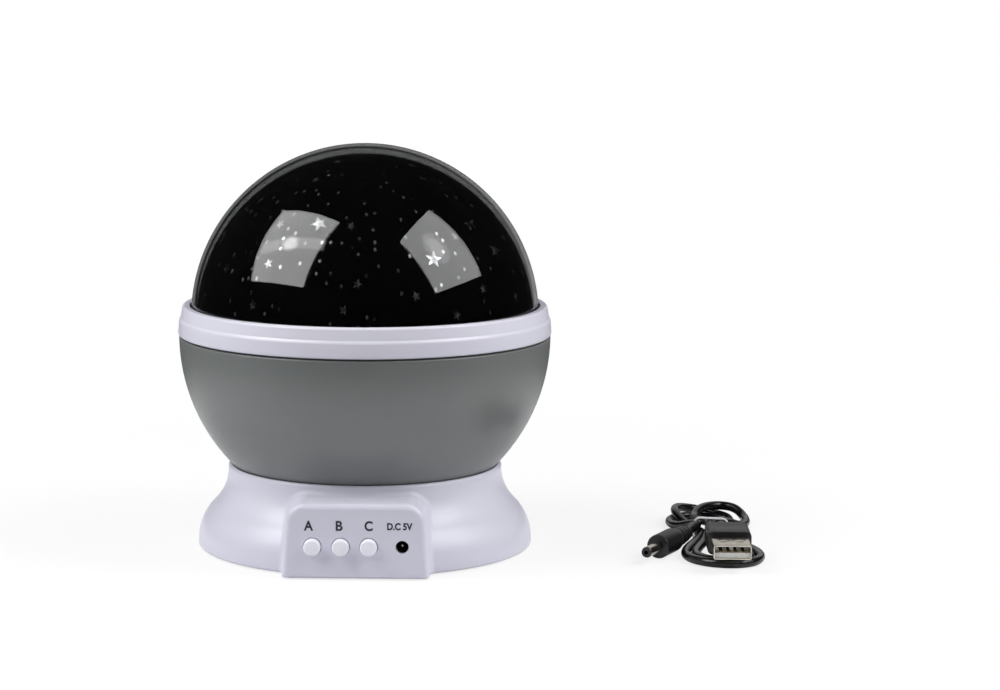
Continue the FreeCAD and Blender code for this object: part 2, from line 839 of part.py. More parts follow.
def trim_ring():
    """Stepped ring: a skirt over the bowl's lip, a pocket for the dome's flange and a lip over it."""
    step_z = ring_bottom_z + ring_step_height
    band = ring_radius - ring_draft
    shelf_z = dome_flange_z + flange_height
    mouth = dome_radius + mouth_gap
    return turned((lip_outer_radius + loose_gap, ring_bottom_z), (ring_radius, ring_bottom_z), (band, step_z),
                  ((band - ring_step_depth * 0.35, step_z + ring_step_depth * 0.7),
                   (band - ring_step_depth, step_z + ring_step_depth)),
                  (ring_top_radius, ring_top_z - ring_edge_round),
                  ((ring_top_radius - 0.3 * ring_edge_round, ring_top_z - 0.3 * ring_edge_round),
                   (ring_top_radius - ring_edge_round, ring_top_z)),
                  (mouth + mouth_gap, ring_top_z), (mouth, ring_top_z - mouth_gap), (mouth, shelf_z),
                  (pocket_radius, shelf_z), (pocket_radius, lip_top_z),
                  (lip_outer_radius + loose_gap, lip_top_z))


def half_ball_shell(outer, inner, centre, low, flange_top):
    """Half-ball shell that stands on low, with a flange round its foot that fits the ring's pocket."""
    middle = vec(0, 0, centre)
    body = Part.makeSphere(outer, middle).fuse(cylinder(flange_radius, low, flange_top))
    hollow = Part.makeSphere(inner, middle).fuse(cylinder(inner, low - 1, centre))
    return body.cut(hollow).common(slab(low, far))


def clear_dome():
    return half_ball_shell(dome_radius, dome_radius - dome_wall, dome_centre_z, dome_flange_z,
                           dome_flange_z + flange_height)


def star_film():
    return half_ball_shell(film_radius, film_radius - film_wall, film_flange_z, film_flange_z, dome_flange_z)


def dome_retainer():
    return tube(flange_radius, flange_radius - retainer_width, retainer_bottom_z, film_flange_z)


# ---- power lead ----------------------------------------------------------------------------

def lobe(centre_x, centre_y, radius, start_y, height):
    """Drop-shaped slab: straight sides from the waist that run tangent into a round end."""
    waist = hank_waist_width / 2
    away = 1 if centre_y > start_y else -1
    sides = []
    for side in (-1, 1):
        dx = centre_x - side * waist
        dy = centre_y - start_y
        reach = math.hypot(dx, dy)
        heading = math.atan2(dy, dx) + side * away * -math.asin(radius / reach)
        length = math.sqrt(reach ** 2 - radius ** 2)
        sides.append((side * waist + length * math.cos(heading), start_y + length * math.sin(heading)))
    left, right = sides
    face = outline([(waist, start_y), right, ((centre_x, centre_y + away * radius), left), (-waist, start_y)],
                   lambda x, y: vec(x, y, 0))
    return face.extrude(vec(0, 0, height))


def lead_hank():
    """Outer shape of the bundled cord: three loops above the tie, two flat ones below it."""
    half = hank_waist_width / 2
    low = tie_thickness + slide_gap
    waist = block(-half, half, -6, 6, low, low + hank_waist_height)
    waist = waist.makeFillet(cord_radius, edges_where(waist, lambda e: e.BoundBox.YLength > 1))
    upper = lobe(0.3, hank_top_lobe_y, hank_top_lobe_radius, 2.0, hank_top_height)
    lower = lobe(hank_low_lobe_x, hank_low_lobe_y, hank_low_lobe_radius, -2.0, hank_low_height)
    return joined([waist, upper, lower])


def lead_tie():
    half = hank_waist_width / 2 + slide_gap
    wall = tie_thickness
    top = tie_thickness + 2 * slide_gap + hank_waist_height
    outer = block(-half - wall, half + wall, -tie_width / 2, tie_width / 2, 0, top + wall)
    outer = outer.makeFillet(cord_radius + wall / 2, edges_where(outer, lambda e: e.BoundBox.YLength > 1))
    inner = block(-half, half, -tie_width, tie_width, wall, top)
    inner = inner.makeFillet(cord_radius - slide_gap, edges_where(inner, lambda e: e.BoundBox.YLength > 1))
    return outer.cut(inner)


def along_dc_plug(solid):
    """Lays a solid made up the Z axis along the round plug, thin end at the hank."""
    solid.rotate(vec(0, 0, 0), vec(1, 0, 0), 90)
    solid.rotate(vec(0, 0, 0), vec(0, 0, 1), -dc_plug_angle)
    solid.translate(vec(dc_plug_start_x, dc_plug_start_y, dc_grip_radius))
    return solid


def dc_plug_grip():
    """Strain relief with three grooves that widens into a round grip."""
    thin = 2.3
    wide = dc_grip_radius - 0.6
    steps = [(0, 0), (thin, 0)]
    groove_count = 3
    pitch = dc_relief_length / groove_count
    for i in range(groove_count):
        z = (i + 0.45) * pitch
        radius = thin + (wide - thin) * z / dc_relief_length
        steps += [(radius, z), (radius - 0.5, z + 0.25), (radius - 0.5, z + 0.9), (radius + 0.25, z + 1.15)]
    steps += [(wide, dc_relief_length), (dc_grip_radius, dc_grip_length - 0.6),
              (dc_grip_radius - 0.6, dc_grip_length), (0, dc_grip_length)]
    return along_dc_plug(turned(*steps))


def dc_plug_barrel():
    return along_dc_plug(tube(dc_barrel_radius, dc_barrel_radius - dc_barrel_wall, dc_grip_length, dc_end - dc_tip_length))


def dc_plug_tip():
    """Black insulating sleeve inside the barrel, with the ring that shows at its end."""
    bore = socket_pin_radius + turning_gap
    sleeve = dc_barrel_radius - dc_barrel_wall
    collar_z = dc_end - dc_tip_length
    return along_dc_plug(turned((bore, dc_grip_length), (sleeve, dc_grip_length), (sleeve, collar_z),
                                (dc_barrel_radius, collar_z), (dc_barrel_radius - 0.2, dc_end), (bore, dc_end)))


def usb_plug_grip():
    half = usb_grip_width / 2
    tall = usb_grip_thickness / 2
    body = block(usb_x - half, usb_x + half, usb_grip_front_y, usb_grip_back_y, usb_z - tall, usb_z + tall)
    body = body.makeFillet(usb_grip_round, edges_where(body, lambda e: e.BoundBox.YLength > 1))
    neck = bar_along_y(usb_neck_radius, usb_grip_back_y - 1, usb_neck_y, usb_x, usb_z)
    return joined([body, neck])


def usb_shell_box(inset, front, back):
    half = usb_shell_width / 2 - inset
    tall = usb_shell_thickness / 2 - inset
    return block(usb_x - half, usb_x + half, front, back, usb_z - tall, usb_z + tall)


def usb_plug_shell():
    back = usb_grip_front_y
    front = usb_shell_front_y
    shell = usb_shell_box(0, front, back).cut(usb_shell_box(usb_shell_wall, front - 1, back + 1))
    half = usb_window / 2
    for side in (-1, 1):
        x = usb_x + side * usb_window
        y = (front + back) / 2
        shell = shell.cut(block(x - half, x + half, y - half, y + half, usb_z, far))
    return shell


def usb_plug_tongue():
    room = usb_shell_box(usb_shell_wall + turning_gap, usb_shell_front_y + usb_recess, usb_grip_front_y)
    return room.common(slab(-far, usb_z - usb_contact_thickness))


def usb_plug_contacts():
    strips = []
    for i in range(4):
        x = usb_x + (i - 1.5) * usb_contact_pitch
        strips.append(block(x - usb_contact_width / 2, x + usb_contact_width / 2, usb_shell_front_y + 2 * usb_recess,
                            usb_grip_front_y, usb_z - usb_contact_thickness, usb_z))
    return Part.makeCompound(strips)


def straight_cord(start, end):
    return Part.makeCylinder(cord_radius, (end - start).Length, start, end - start)


def lead_tail_dc():
    """Short straight end of the cord from the bundle to the round plug."""
    start = vec(dc_plug_start_x, dc_plug_start_y, dc_grip_radius)
    tail = straight_cord(start, vec(-3.6, -3.2, dc_grip_radius))
    plug_side = along_dc_plug(cylinder(9, 0, 20))
    return tail.cut([lead_hank(), plug_side])


def lead_tail_usb():
    """Short straight end of the cord from the bundle up to the flat plug's neck."""
    start = vec(usb_x, usb_neck_y, usb_z)
    tail = straight_cord(start + vec(0, -1.5, 0.4), vec(usb_x - 0.2, -4.0, tie_thickness + hank_waist_height - 1.6))
    neck_side = block(-far, far, -far, usb_neck_y, 0, far)
    return tail.cut([lead_hank(), neck_side])


def beside(solid):
    """Moves a piece of the lead from its own plan to its place beside the base."""
    moved = solid.copy()
    moved.translate(vec(lead_x, lead_y, 0))
    return moved


# ---- all pieces ----------------------------------------------------------------------------

pieces = {
    "base_housing": base_housing(),
    "base_plate": base_plate(),
    "rubber_feet": rubber_feet(),
    "base_screws": base_screws(),
    "battery_tray": battery_tray(),
    "battery_contacts": battery_contacts(),
    "battery_door": battery_door(),
    "control_board": control_board(),
    "switch_bodies": switch_bodies(),
    "dc_socket_body": dc_socket_body(),
    "dc_socket_pin": dc_socket_pin(),
    "gearbox_case": gearbox_case(),
    "motor_can": motor_can(),
    "motor_screws": motor_screws(),
    "motor_shaft": motor_shaft(),
    "motor_pinion": motor_pinion(),
    "column": column(),
    "column_screws": column_screws(),
    "thrust_washer": thrust_washer(),
    "retaining_clip": retaining_clip(),
    "lamp_holder": lamp_holder(),
    "lamp_board": lamp_board(),
    "lamp_leds": lamp_leds(),
    "lamp_screws": lamp_screws(),
    "lamp_wires": lamp_wires(),
    "motor_wires": motor_wires(),
    "battery_wires": battery_wires(),
    "hub_gear": hub_gear(),
    "gear_screws": gear_screws(),
    "bowl": bowl(),
    "trim_ring": trim_ring(),
    "clear_dome": clear_dome(),
    "star_film": star_film(),
    "dome_retainer": dome_retainer(),
    "lead_hank": beside(lead_hank()),
    "lead_tail_dc": beside(lead_tail_dc()),
    "lead_tail_usb": beside(lead_tail_usb()),
    "lead_tie": beside(lead_tie()),
    "dc_plug_grip": beside(dc_plug_grip()),
    "dc_plug_barrel": beside(dc_plug_barrel()),
    "dc_plug_tip": beside(dc_plug_tip()),
    "usb_plug_grip": beside(usb_plug_grip()),
    "usb_plug_shell": beside(usb_plug_shell()),
    "usb_plug_tongue": beside(usb_plug_tongue()),
    "usb_plug_contacts": beside(usb_plug_contacts()),
}
for letter, x in zip("abcdefgh", button_places):
    pieces["button_" + letter] = button_cap(x)
    pieces["plunger_" + letter] = plunger(x)

os.makedirs("parts", exist_ok=True)
for name, shape in pieces.items():
    shape.exportStep("parts/" + name + ".step")
    box = shape.BoundBox
    print(name, len(shape.Solids), "solids,", round(shape.Volume), "mm3, valid", shape.isValid(),
          [round(v, 1) for v in (box.XMin, box.XMax, box.YMin, box.YMax, box.ZMin, box.ZMax)])
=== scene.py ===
import json
import math
from functools import partial
import bmesh
import bpy
import numpy as np
from mathutils import Matrix, Vector


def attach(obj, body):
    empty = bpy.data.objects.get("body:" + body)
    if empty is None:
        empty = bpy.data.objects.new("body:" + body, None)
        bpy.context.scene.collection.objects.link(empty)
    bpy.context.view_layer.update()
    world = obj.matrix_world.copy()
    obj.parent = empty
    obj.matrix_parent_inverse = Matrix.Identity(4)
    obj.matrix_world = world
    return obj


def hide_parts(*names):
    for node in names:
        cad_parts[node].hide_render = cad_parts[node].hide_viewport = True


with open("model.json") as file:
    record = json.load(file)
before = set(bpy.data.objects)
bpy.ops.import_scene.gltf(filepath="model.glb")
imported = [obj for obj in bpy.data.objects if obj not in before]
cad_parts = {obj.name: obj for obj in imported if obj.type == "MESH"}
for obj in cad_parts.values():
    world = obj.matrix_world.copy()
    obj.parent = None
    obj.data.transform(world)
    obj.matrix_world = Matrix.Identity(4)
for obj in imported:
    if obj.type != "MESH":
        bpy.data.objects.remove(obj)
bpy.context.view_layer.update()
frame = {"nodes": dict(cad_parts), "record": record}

nodes = frame["nodes"]
mm = 0.001  # every size below is in millimetres, Blender's are metres
scene = bpy.context.scene
print("frame loaded:", len(nodes), "nodes")


cameraLook = {
    "distance": 927.2,  # from the ball's axis, along the floor
    "height": 199.6,
    "azimuth": 3.2,  # degrees round from the front
    "yaw": 2.73,  # degrees that it looks right of the axis
    "pitch": 8.21,  # degrees that it looks down
    "lens": 102.67,
    "sensor": 36,
    "nearest": 10,
}


def standing(place, x, y, z):
    # matrix that puts a thing at a place in metres with its own axes along x, y and z
    return Matrix.Translation(place) @ Matrix((x, y, z)).transposed().to_4x4()


def makeCamera(look):
    # looks along a line turned by yaw and pitch, with its up axis tipped so that uprights stay
    # upright: up = right x forward - right tan(yaw) tan(pitch)
    around, yaw, pitch = (math.radians(look[k]) for k in ("azimuth", "yaw", "pitch"))
    ahead = Vector((-math.sin(around), math.cos(around), 0))
    aside = Vector((math.cos(around), math.sin(around), 0))
    forward = (ahead * math.cos(yaw) + aside * math.sin(yaw)) * math.cos(pitch)
    forward.z = -math.sin(pitch)
    right = forward.cross(Vector((0, 0, 1))).normalized()
    up = (right.cross(forward) - right * math.tan(yaw) * math.tan(pitch)).normalized()
    data = bpy.data.cameras.new("camera")
    data.lens = look["lens"]
    data.sensor_width = look["sensor"]
    data.clip_start = look["nearest"] * mm
    place = -ahead * look["distance"] * mm
    place.z = look["height"] * mm
    camera = bpy.data.objects.new("camera", data)
    camera.matrix_world = standing(place, forward.cross(up), up, -forward)
    scene.collection.objects.link(camera)
    scene.camera = camera


makeCamera(cameraLook)
print("camera placed")


def toLinear(hexColour):
    # sRGB to linear light: a straight line below 0.04045, a power of 2.4 above it
    parts = [int(hexColour[i:i + 2], 16) / 255 for i in (1, 3, 5)]
    return (*(c / 12.92 if c <= 0.04045 else ((c + 0.055) / 1.055) ** 2.4 for c in parts), 1.0)


def addNode(tree, kind, sockets, **settings):
    # one node with its settings; a socket takes a value, another socket or a node's first output
    node = tree.nodes.new("ShaderNode" + kind)
    for name, value in settings.items():
        setattr(node, name, value)
    for name, value in sockets.items():
        if isinstance(value, bpy.types.Node):
            value = value.outputs[0]
        if isinstance(value, bpy.types.NodeSocket):
            tree.links.new(value, node.inputs[name])
        else:
            node.inputs[name].default_value = value
    return node


def startNodes(owner):
    # empties a material's or world's nodes; gives the function that adds one there, and the place
    owner.use_nodes = True
    owner.node_tree.nodes.clear()
    add = partial(addNode, owner.node_tree)
    return add, add("TexCoord", {}).outputs["Object"]


def finish(name, colour, shade, patch, rough, grain, depth, values={}, stretch=(1, 1, 1),
           gloss=3, detail=2):
    # colour drifts between two close shades over "patch" mm, gloss between two roughnesses over
    # "gloss" times the grain, and the surface has a bump of "grain" mm that is "depth" mm high
    material = bpy.data.materials.new(name)
    add, place = startNodes(material)
    patches = add("TexNoise", {"Vector": place, "Scale": 1 / (patch * mm), "Detail": 3})
    drift = add("ValToRGB", {"Fac": patches})
    for end, position, tint in zip(drift.color_ramp.elements, (0.35, 0.65), (shade, colour)):
        end.position, end.color = position, toLinear(tint)
    stretched = add("Mapping", {"Vector": place, "Scale": stretch})
    dulled = add("TexNoise", {"Vector": stretched, "Scale": 1 / (gloss * grain * mm)})
    dullness = add("MapRange", {"Value": dulled, "From Min": 0.3, "From Max": 0.7,
                                "To Min": rough[0], "To Max": rough[1]})
    raised = add("TexNoise", {"Vector": stretched, "Scale": 1 / (grain * mm), "Detail": detail})
    bump = add("Bump", {"Height": raised, "Distance": depth * mm})
    shader = add("BsdfPrincipled", {"Base Color": drift, "Roughness": dullness, "Normal": bump,
                                    **values})
    add("OutputMaterial", {"Surface": shader})
    return material


# colour, darker shade, patch, roughnesses, grain and depth, the shader's other values, and where
# they aren't plain the stretch, gloss and detail
finishes = {
    # polished mould: near-white with a cool cast, soft clear highlights over a faint orange peel
    "moulded_white_abs": ("#D2D1DE", "#D0CFDD", 40, (0.28, 0.32), 2.4, 0.0012, {"IOR": 1.54}),
    # the same polish on the ring, painted a shade paler to stand in for the brighter light that falls on
    # it
    "ring_abs_painted_paler": ("#DCDBE7", "#DAD9E6", 40, (0.28, 0.32), 2.4, 0.0012, {"IOR": 1.54}),
    # polished mould of the buttons: a cleaner white than the housing, with a brighter rounded edge
    "polished_white_abs": ("#EDEDF5", "#EAEAF3", 3, (0.18, 0.24), 0.8, 0.001, {"IOR": 1.54}),
    # satin mould: an even mid grey with a broad dull highlight and a fine grit
    "satin_grey_abs": ("#727574", "#6F7271", 30, (0.3, 0.34), 0.8, 0.0012, {"IOR": 1.6}),
    # etched mould: black with a faint grain, dull beside the cord
    "moulded_black_abs": ("#17171A", "#131316", 8, (0.38, 0.5), 0.25, 0.01, {"IOR": 1.54}),
    # extruded jacket: deep black, glossy, with long faint draw marks
    "extruded_black_pvc": ("#101013", "#0C0C0E", 6, (0.2, 0.26), 0.9, 0.003, {"IOR": 1.53}),
    # moulded over the plug: the same black with a satin skin
    "moulded_black_pvc": ("#151517", "#111113", 5, (0.36, 0.48), 0.3, 0.008, {"IOR": 1.53}),
    # milled acetal gears: milky white, a little see-through, waxy gloss
    "moulded_acetal": ("#E9E7DF", "#E2E0D8", 6, (0.3, 0.38), 0.5, 0.004,
                       {"IOR": 1.48, "Subsurface Weight": 0.2, "Subsurface Scale": 0.002}),
    # epoxy glass board under solder mask: green, with the weave showing faintly
    "masked_fibreglass": ("#1D6B3C", "#185C33", 3, (0.28, 0.4), 0.45, 0.01, {"IOR": 1.55}),
    # cast epoxy lamps: clear with a faint haze
    "cast_clear_epoxy": ("#F4F6F8", "#EEF1F4", 4, (0.03, 0.08), 0.5, 0.002,
                         {"IOR": 1.55, "Transmission Weight": 0.85}),
    # zinc-plated steel: pale grey metal, cloudy
    "zinc_plated_steel": ("#B9BBBD", "#A6A9AC", 1.5, (0.28, 0.42), 0.3, 0.003, {"Metallic": 1.0}),
    # nickel-plated strip: warm bright metal with fine lines from rolling along the plug
    "rolled_nickel_plate": ("#CFC9BC", "#BDB7AA", 4, (0.16, 0.26), 0.35, 0.002, {"Metallic": 1.0},
                            (1, 0.08, 1)),
    # flash gold on the contact strips
    "gold_flashed_brass": ("#E3C476", "#D8B663", 1, (0.15, 0.25), 0.2, 0.002, {"Metallic": 1.0}),
    # moulded rubber feet: dull dark grey
    "moulded_rubber": ("#2A2A2C", "#232325", 2, (0.6, 0.75), 0.3, 0.02),
    # wires' thin jackets: red, satin
    "extruded_red_pvc": ("#A3231E", "#961E1A", 4, (0.35, 0.45), 0.4, 0.003, {"IOR": 1.53}),
    # polythene tie: soft white with a waxy skin
    "drawn_white_polythene": ("#E6E6EA", "#DADADF", 2, (0.4, 0.5), 0.25, 0.01),
    # plug's tongue: plain white insulator
    "moulded_white_nylon": ("#D9D9D4", "#D0D0CB", 3, (0.4, 0.5), 0.3, 0.004, {"IOR": 1.53}),
    # screen-printed film: dense black ink that dries matt, so that the gloss comes from the dome over it
    "printed_black_film": ("#161617", "#131314", 12, (0.5, 0.58), 5.0, 0.01,
                           {"Specular IOR Level": 0.02}),
    # bare film where no ink lies: throws light back like foil; its colour drifts from white to nearly
    # dark in small patches, a painted glint that makes some stars pale and leaves others dim
    "star_film_with_painted_glints": ("#FFFFFF", "#3C3D40", 3, (0.12, 0.2), 2.0, 0.002, {"Metallic": 0.8}),
    # pad-printed ink: very dark navy, flat
    "pad_printed_ink": ("#20202D", "#1B1B27", 2, (0.45, 0.55), 0.3, 0.003),
    # clear mould: sharp reflections, bends what is behind it, with the faintest waves of the
    # mould and a little dust that dulls it
    "moulded_clear_acrylic": ("#CBCCCD", "#CBCCCD", 40, (0.0, 0.015), 30, 0.02,
                              {"IOR": 1.49, "Transmission Weight": 1.0}, (1, 1, 1), 4 / 30, 1),
}
made = {name: finish(name, *look) for name, look in finishes.items()}

# which finish each of the record's slots is made with
slotFinish = {
    "white_abs": "moulded_white_abs", "grey_abs": "satin_grey_abs",
    "clear_acrylic": "moulded_clear_acrylic", "printed_film": "printed_black_film",
    "black_plastic": "moulded_black_abs", "lamp_plastic": "moulded_white_abs",
    "gear_acetal": "moulded_acetal", "circuit_board": "masked_fibreglass",
    "led_epoxy": "cast_clear_epoxy", "zinc_steel": "zinc_plated_steel",
    "nickel_contact": "rolled_nickel_plate", "gold_contact": "gold_flashed_brass",
    "foot_rubber": "moulded_rubber", "cord_pvc": "extruded_black_pvc",
    "wire_pvc": "extruded_red_pvc", "white_tie": "drawn_white_polythene",
    "white_insulator": "moulded_white_nylon",
}
for part in frame["record"]["subparts"]:
    for place in nodes[part["node"]].material_slots:
        place.material = made[slotFinish[part["material_slot"]]]
print("materials made:", len(made))


def addObject(data, material, body, replaced=()):
    # one piece from a mesh or a curve, with its finish and body and the nodes it stands for
    piece = bpy.data.objects.new(data.name, data)
    scene.collection.objects.link(piece)
    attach(piece, body)
    data.materials.append(made[material])
    if replaced:
        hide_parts(*replaced)
    return piece


# the power lead's plan positions are measured from the middle of its tie
lead = {
    "tieX": 114.8,
    "tieY": 6.6,
    "cordRadius": 1.5,
    "length": 0.468,  # in metres
    # out of the round plug, a low loop, the outer lower loop, the second upper loop, the inner
    # lower loop, the top loop and down to the flat plug
    "route": [
        (-8.5, -7, 3.9), (-7.2, -4.2, 4.3), (-4.1, 0.4, 5.4), (-5.5, 6.4, 4.4), (-9.4, 12.2, 2.2),
        (-11.9, 17, 1.5), (-13, 25, 1.5), (-8.6, 31.6, 1.5), (-1.2, 32.8, 1.5), (4, 28.2, 1.5),
        (4, 20, 1.5), (2.2, 13, 1.5), (3.2, 6.5, 1.5), (3.8, 2, 2.2), (3.4, -2, 2.4),
        (5.8, -8, 1.7), (10, -16, 1.5), (13.6, -24, 1.5), (14.4, -33, 1.5), (10.6, -41.4, 1.5),
        (2.4, -43.6, 1.5), (-6, -39.8, 1.5), (-10.2, -31.5, 1.5), (-9.4, -21.5, 1.5),
        (-5.8, -11, 1.6), (-3.5, -4, 2.3), (-3, 1, 2.3), (-3.4, 6, 1.7), (-5.8, 13, 1.5),
        (-9, 19, 2.9), (-10.9, 25, 4.7), (-10, 32, 4.7), (-4.2, 38.6, 3), (3.2, 37.4, 1.6),
        (7.6, 31, 1.5), (8.2, 23, 1.5), (6.6, 16, 2.4), (4.8, 10.6, 4.7), (2.6, 7.2, 4.8),
        (0.6, 3, 2.6), (0, -2, 2.3), (2.6, -8.6, 1.5), (6.8, -17, 1.5), (10.3, -24.5, 1.5),
        (11, -32, 1.5), (7.6, -38.6, 1.5), (1.4, -39.8, 1.5), (-4.8, -35.8, 1.5), (-7, -28.6, 1.5),
        (-5.6, -20.6, 1.5), (-2.6, -11.6, 2.2), (-0.8, -4.6, 4.9), (-0.3, 0.5, 5.6), (-2.2, 6.5, 5.3),
        (-4.2, 13.5, 4), (-5, 20.5, 3.2), (-2.9, 27, 4.8), (0.4, 32, 5), (5.4, 35.2, 4.8),
        (10.6, 32.8, 4.4), (13.6, 27, 1.8), (13.2, 20, 1.6), (10.2, 13, 2.2), (6.2, 6.4, 4.9),
        (3.4, 1.5, 5.5), (3.1, -4, 5.6), (3.4, -11, 6.6), (3.5, -17.8, 7.05)
    ],
}


def besideBase(x, y, z):
    # a place of the lead, in metres
    return Vector(((lead["tieX"] + x) * mm, (lead["tieY"] + y) * mm, z * mm))


def makeCord(look):
    # a round tube along a smooth curve of the route's points
    curve = bpy.data.curves.new("lead_cord", "CURVE")
    curve.dimensions = "3D"
    curve.bevel_depth = 1.0  # the radius stands on the points, so that the curve's box fits it
    curve.bevel_resolution = 6
    curve.resolution_u = 10
    curve.use_fill_caps = True
    line = curve.splines.new("NURBS")
    line.points.add(len(look["route"]) - 1)
    for point, place in zip(line.points, look["route"]):
        point.co = (*besideBase(*place), 1)
        point.radius = look["cordRadius"] * mm
    line.order_u = 3
    line.use_endpoint_u = True
    line.use_smooth = True
    return addObject(curve, "extruded_black_pvc", "base",
                     ["lead_hank", "lead_tail_dc", "lead_tail_usb"])


cord = makeCord(lead)
print("cord laid")


def take(look, names):
    # several of a dictionary's values, in the order of their names
    return [look[name] for name in names.split()]


def gridFaces(rows, columns, closeRows=True):
    # four-sided faces between neighbours of a grid whose columns close on themselves
    row, column = np.meshgrid(np.arange(rows - 1 + closeRows), np.arange(columns), indexing="ij")
    after, beside = (row + 1) % rows, (column + 1) % columns
    corners = (row, column), (row, beside), (after, beside), (after, column)
    return np.stack([r * columns + c for r, c in corners], -1).reshape(-1, 4)


def turned(outline, columns):
    # points (r, h) of a closed outline carried round Z: x = r cos t, y = r sin t, z = h
    r, h = np.asarray(outline, float).T
    t = np.linspace(0, 2 * np.pi, columns, endpoint=False)
    points = np.stack([np.outer(r, np.cos(t)), np.outer(r, np.sin(t)),
                       np.outer(h, np.ones(columns))], -1)
    faces = gridFaces(len(r), columns).reshape(len(r), columns, 4)
    onAxis = r < 1e-6
    faces = faces[~(onAxis & np.roll(onAxis, -1))]
    return points.reshape(-1, 3), faces.reshape(-1, 4)


def tubeShape(outer, inner, low, high, columns):
    # an upright tube, or a disc where its inner radius is 0
    return turned([(inner, low), (outer, low), (outer, high), (inner, high)], columns)


def moved(shape, x, y, z=0):
    # the same shape further along x, y and z
    points, *faces = shape
    return (points + [x, y, z], *faces)


def shadeSmooth(mesh, crease):
    # smooth all over, but for edges whose faces meet at more than the crease's angle
    mesh.shade_smooth()
    mesh.set_sharp_from_angle(angle=math.radians(crease))


def meshOf(name, shapes, crease=35):
    # one mesh from shapes, each of points in mm and one or more arrays of faces; merges what
    # coincides and turns the faces outwards by the sign of the volume
    places, faces = [], []
    start = 0
    for points, *groups in shapes:
        places.append(points * mm)
        for group in groups:
            faces += (group + start).tolist()
        start += len(points)
    mesh = bpy.data.meshes.new(name)
    mesh.from_pydata(np.vstack(places).tolist(), [], faces)
    work = bmesh.new()
    work.from_mesh(mesh)
    bmesh.ops.remove_doubles(work, verts=work.verts, dist=1e-7)
    if work.calc_volume(signed=True) < 0:
        bmesh.ops.reverse_faces(work, faces=work.faces)
    work.to_mesh(mesh)
    work.free()
    shadeSmooth(mesh, crease)
    return mesh


def finalMesh(thing):
    # mesh of an object with its modifiers, or of its letters
    return bpy.data.meshes.new_from_object(
        thing.evaluated_get(bpy.context.evaluated_depsgraph_get()))


def addPiece(name, shapes, material, body, replaced=(), crease=35):
    return addObject(meshOf(name, shapes, crease), material, body, replaced)


def ballArc(radius, centre, low, high, steps):
    # outline of a ball from one height to another: r = R cos a, z = centre + R sin a
    first, last = (math.asin(min(1.0, (z - centre) / radius)) for z in (low, high))
    angles = np.linspace(first, last, steps)
    arc = np.stack([radius * np.cos(angles), centre + radius * np.sin(angles)], -1)
    arc[np.abs(arc[:, 0]) < 1e-6, 0] = 0
    return arc


def rounded(corners, steps):
    # closed outline whose corners (r, z, radius) are cut by arcs that touch both sides: an arc's
    # centre lies on the corner's bisector, radius / sin(half the corner) from it
    places = np.array([corner[:2] for corner in corners], float)
    share = np.linspace(0, 1, steps + 1)[:, None]
    outline = []
    for i, (_, _, radius) in enumerate(corners):
        here = places[i]
        if radius == 0:
            outline.append([here])
            continue
        back = places[i - 1] - here
        ahead = places[(i + 1) % len(corners)] - here
        back /= np.linalg.norm(back)
        ahead /= np.linalg.norm(ahead)
        half = math.acos(np.clip(back @ ahead, -1, 1)) / 2
        middle = back + ahead
        centre = here + middle / np.linalg.norm(middle) * radius / math.sin(half)
        first = here + back * radius / math.tan(half) - centre
        last = here + ahead * radius / math.tan(half) - centre
        arms = first * (1 - share) + last * share
        outline.append(centre + arms / np.linalg.norm(arms, axis=1, keepdims=True) * radius)
    return np.vstack(outline)


def wayTo(azimuth, elevation):
    # unit vector at an azimuth from the front and an elevation: (sin a cos e, -cos a cos e, sin e)
    a, e = np.radians(azimuth), np.radians(elevation)
    return np.stack([np.sin(a) * np.cos(e), -np.cos(a) * np.cos(e), np.sin(e)], -1)


ball = {
    "centreZ": 69.513, "radius": 60.7, "wall": 2.0, "floorZ": 23.0, "hubHole": 9.1, "rimZ": 69.25,
    "rimRound": 0.35, "lipTopZ": 73.013, "lipRadius": 59.5, "lipRound": 0.2, "outsideSteps": 70,
    "insideSteps": 40, "roundSteps": 4, "columns": 300,
}


def makeBowl(centreZ, radius, wall, floorZ, hubHole, rimZ, rimRound, lipTopZ, lipRadius,
             lipRound, outsideSteps, insideSteps, roundSteps, columns):
    # outside arc, rim, lip, inside arc and floor as one closed outline
    inside = radius - wall
    lip = rounded([(radius, rimZ - rimRound, 0), (radius, rimZ, rimRound), (lipRadius, rimZ, 0),
                   (lipRadius, lipTopZ, lipRound), (inside, lipTopZ, lipRound),
                   (inside, centreZ, 0)], roundSteps)
    outline = np.vstack([
        [(hubHole, floorZ)],
        ballArc(radius, centreZ, floorZ, rimZ - rimRound, outsideSteps)[:-1],
        lip[:-1],
        ballArc(inside, centreZ, floorZ + wall, centreZ, insideSteps)[::-1],
        [(hubHole, floorZ + wall)]])
    addPiece("bowl_shell", [turned(outline, columns)], "satin_grey_abs", "ball", ["bowl"])


ring = {
    # radius, height and round of each corner of the outline
    "corners": [
        (59.75, 69.85, 0.25), (61.0, 69.85, 0.6),  # foot of the skirt
        (60.7, 74.7, 1.6), (60.15, 75.5, 0.3),  # step between the two bands
        (59.5, 79.4, 0.9), (57.1, 79.4, 0.35),  # top
        (57.1, 76.413, 0), (58.45, 76.413, 0),  # shelf over the dome's flange
        (58.45, 73.013, 0), (59.75, 73.013, 0)],  # foot of the pocket for the flange
    "roundSteps": 6, "columns": 360, "crease": 50,
}


def makeRing(look):
    # the corners rounded and carried round Z
    outline = rounded(look["corners"], look["roundSteps"])
    # its finish is the housing's white painted a shade paler, as painted light
    addPiece("ring_shell", [turned(outline, look["columns"])], "ring_abs_painted_paler", "cover",
             ["trim_ring"], look["crease"])


dome = {
    "radius": 56.8, "wall": 1.5, "centreZ": 75.013, "flangeZ": 75.213, "flangeTopZ": 76.413,
    "flangeRadius": 58.35, "outsideSteps": 90, "insideSteps": 90, "columns": 256,
}

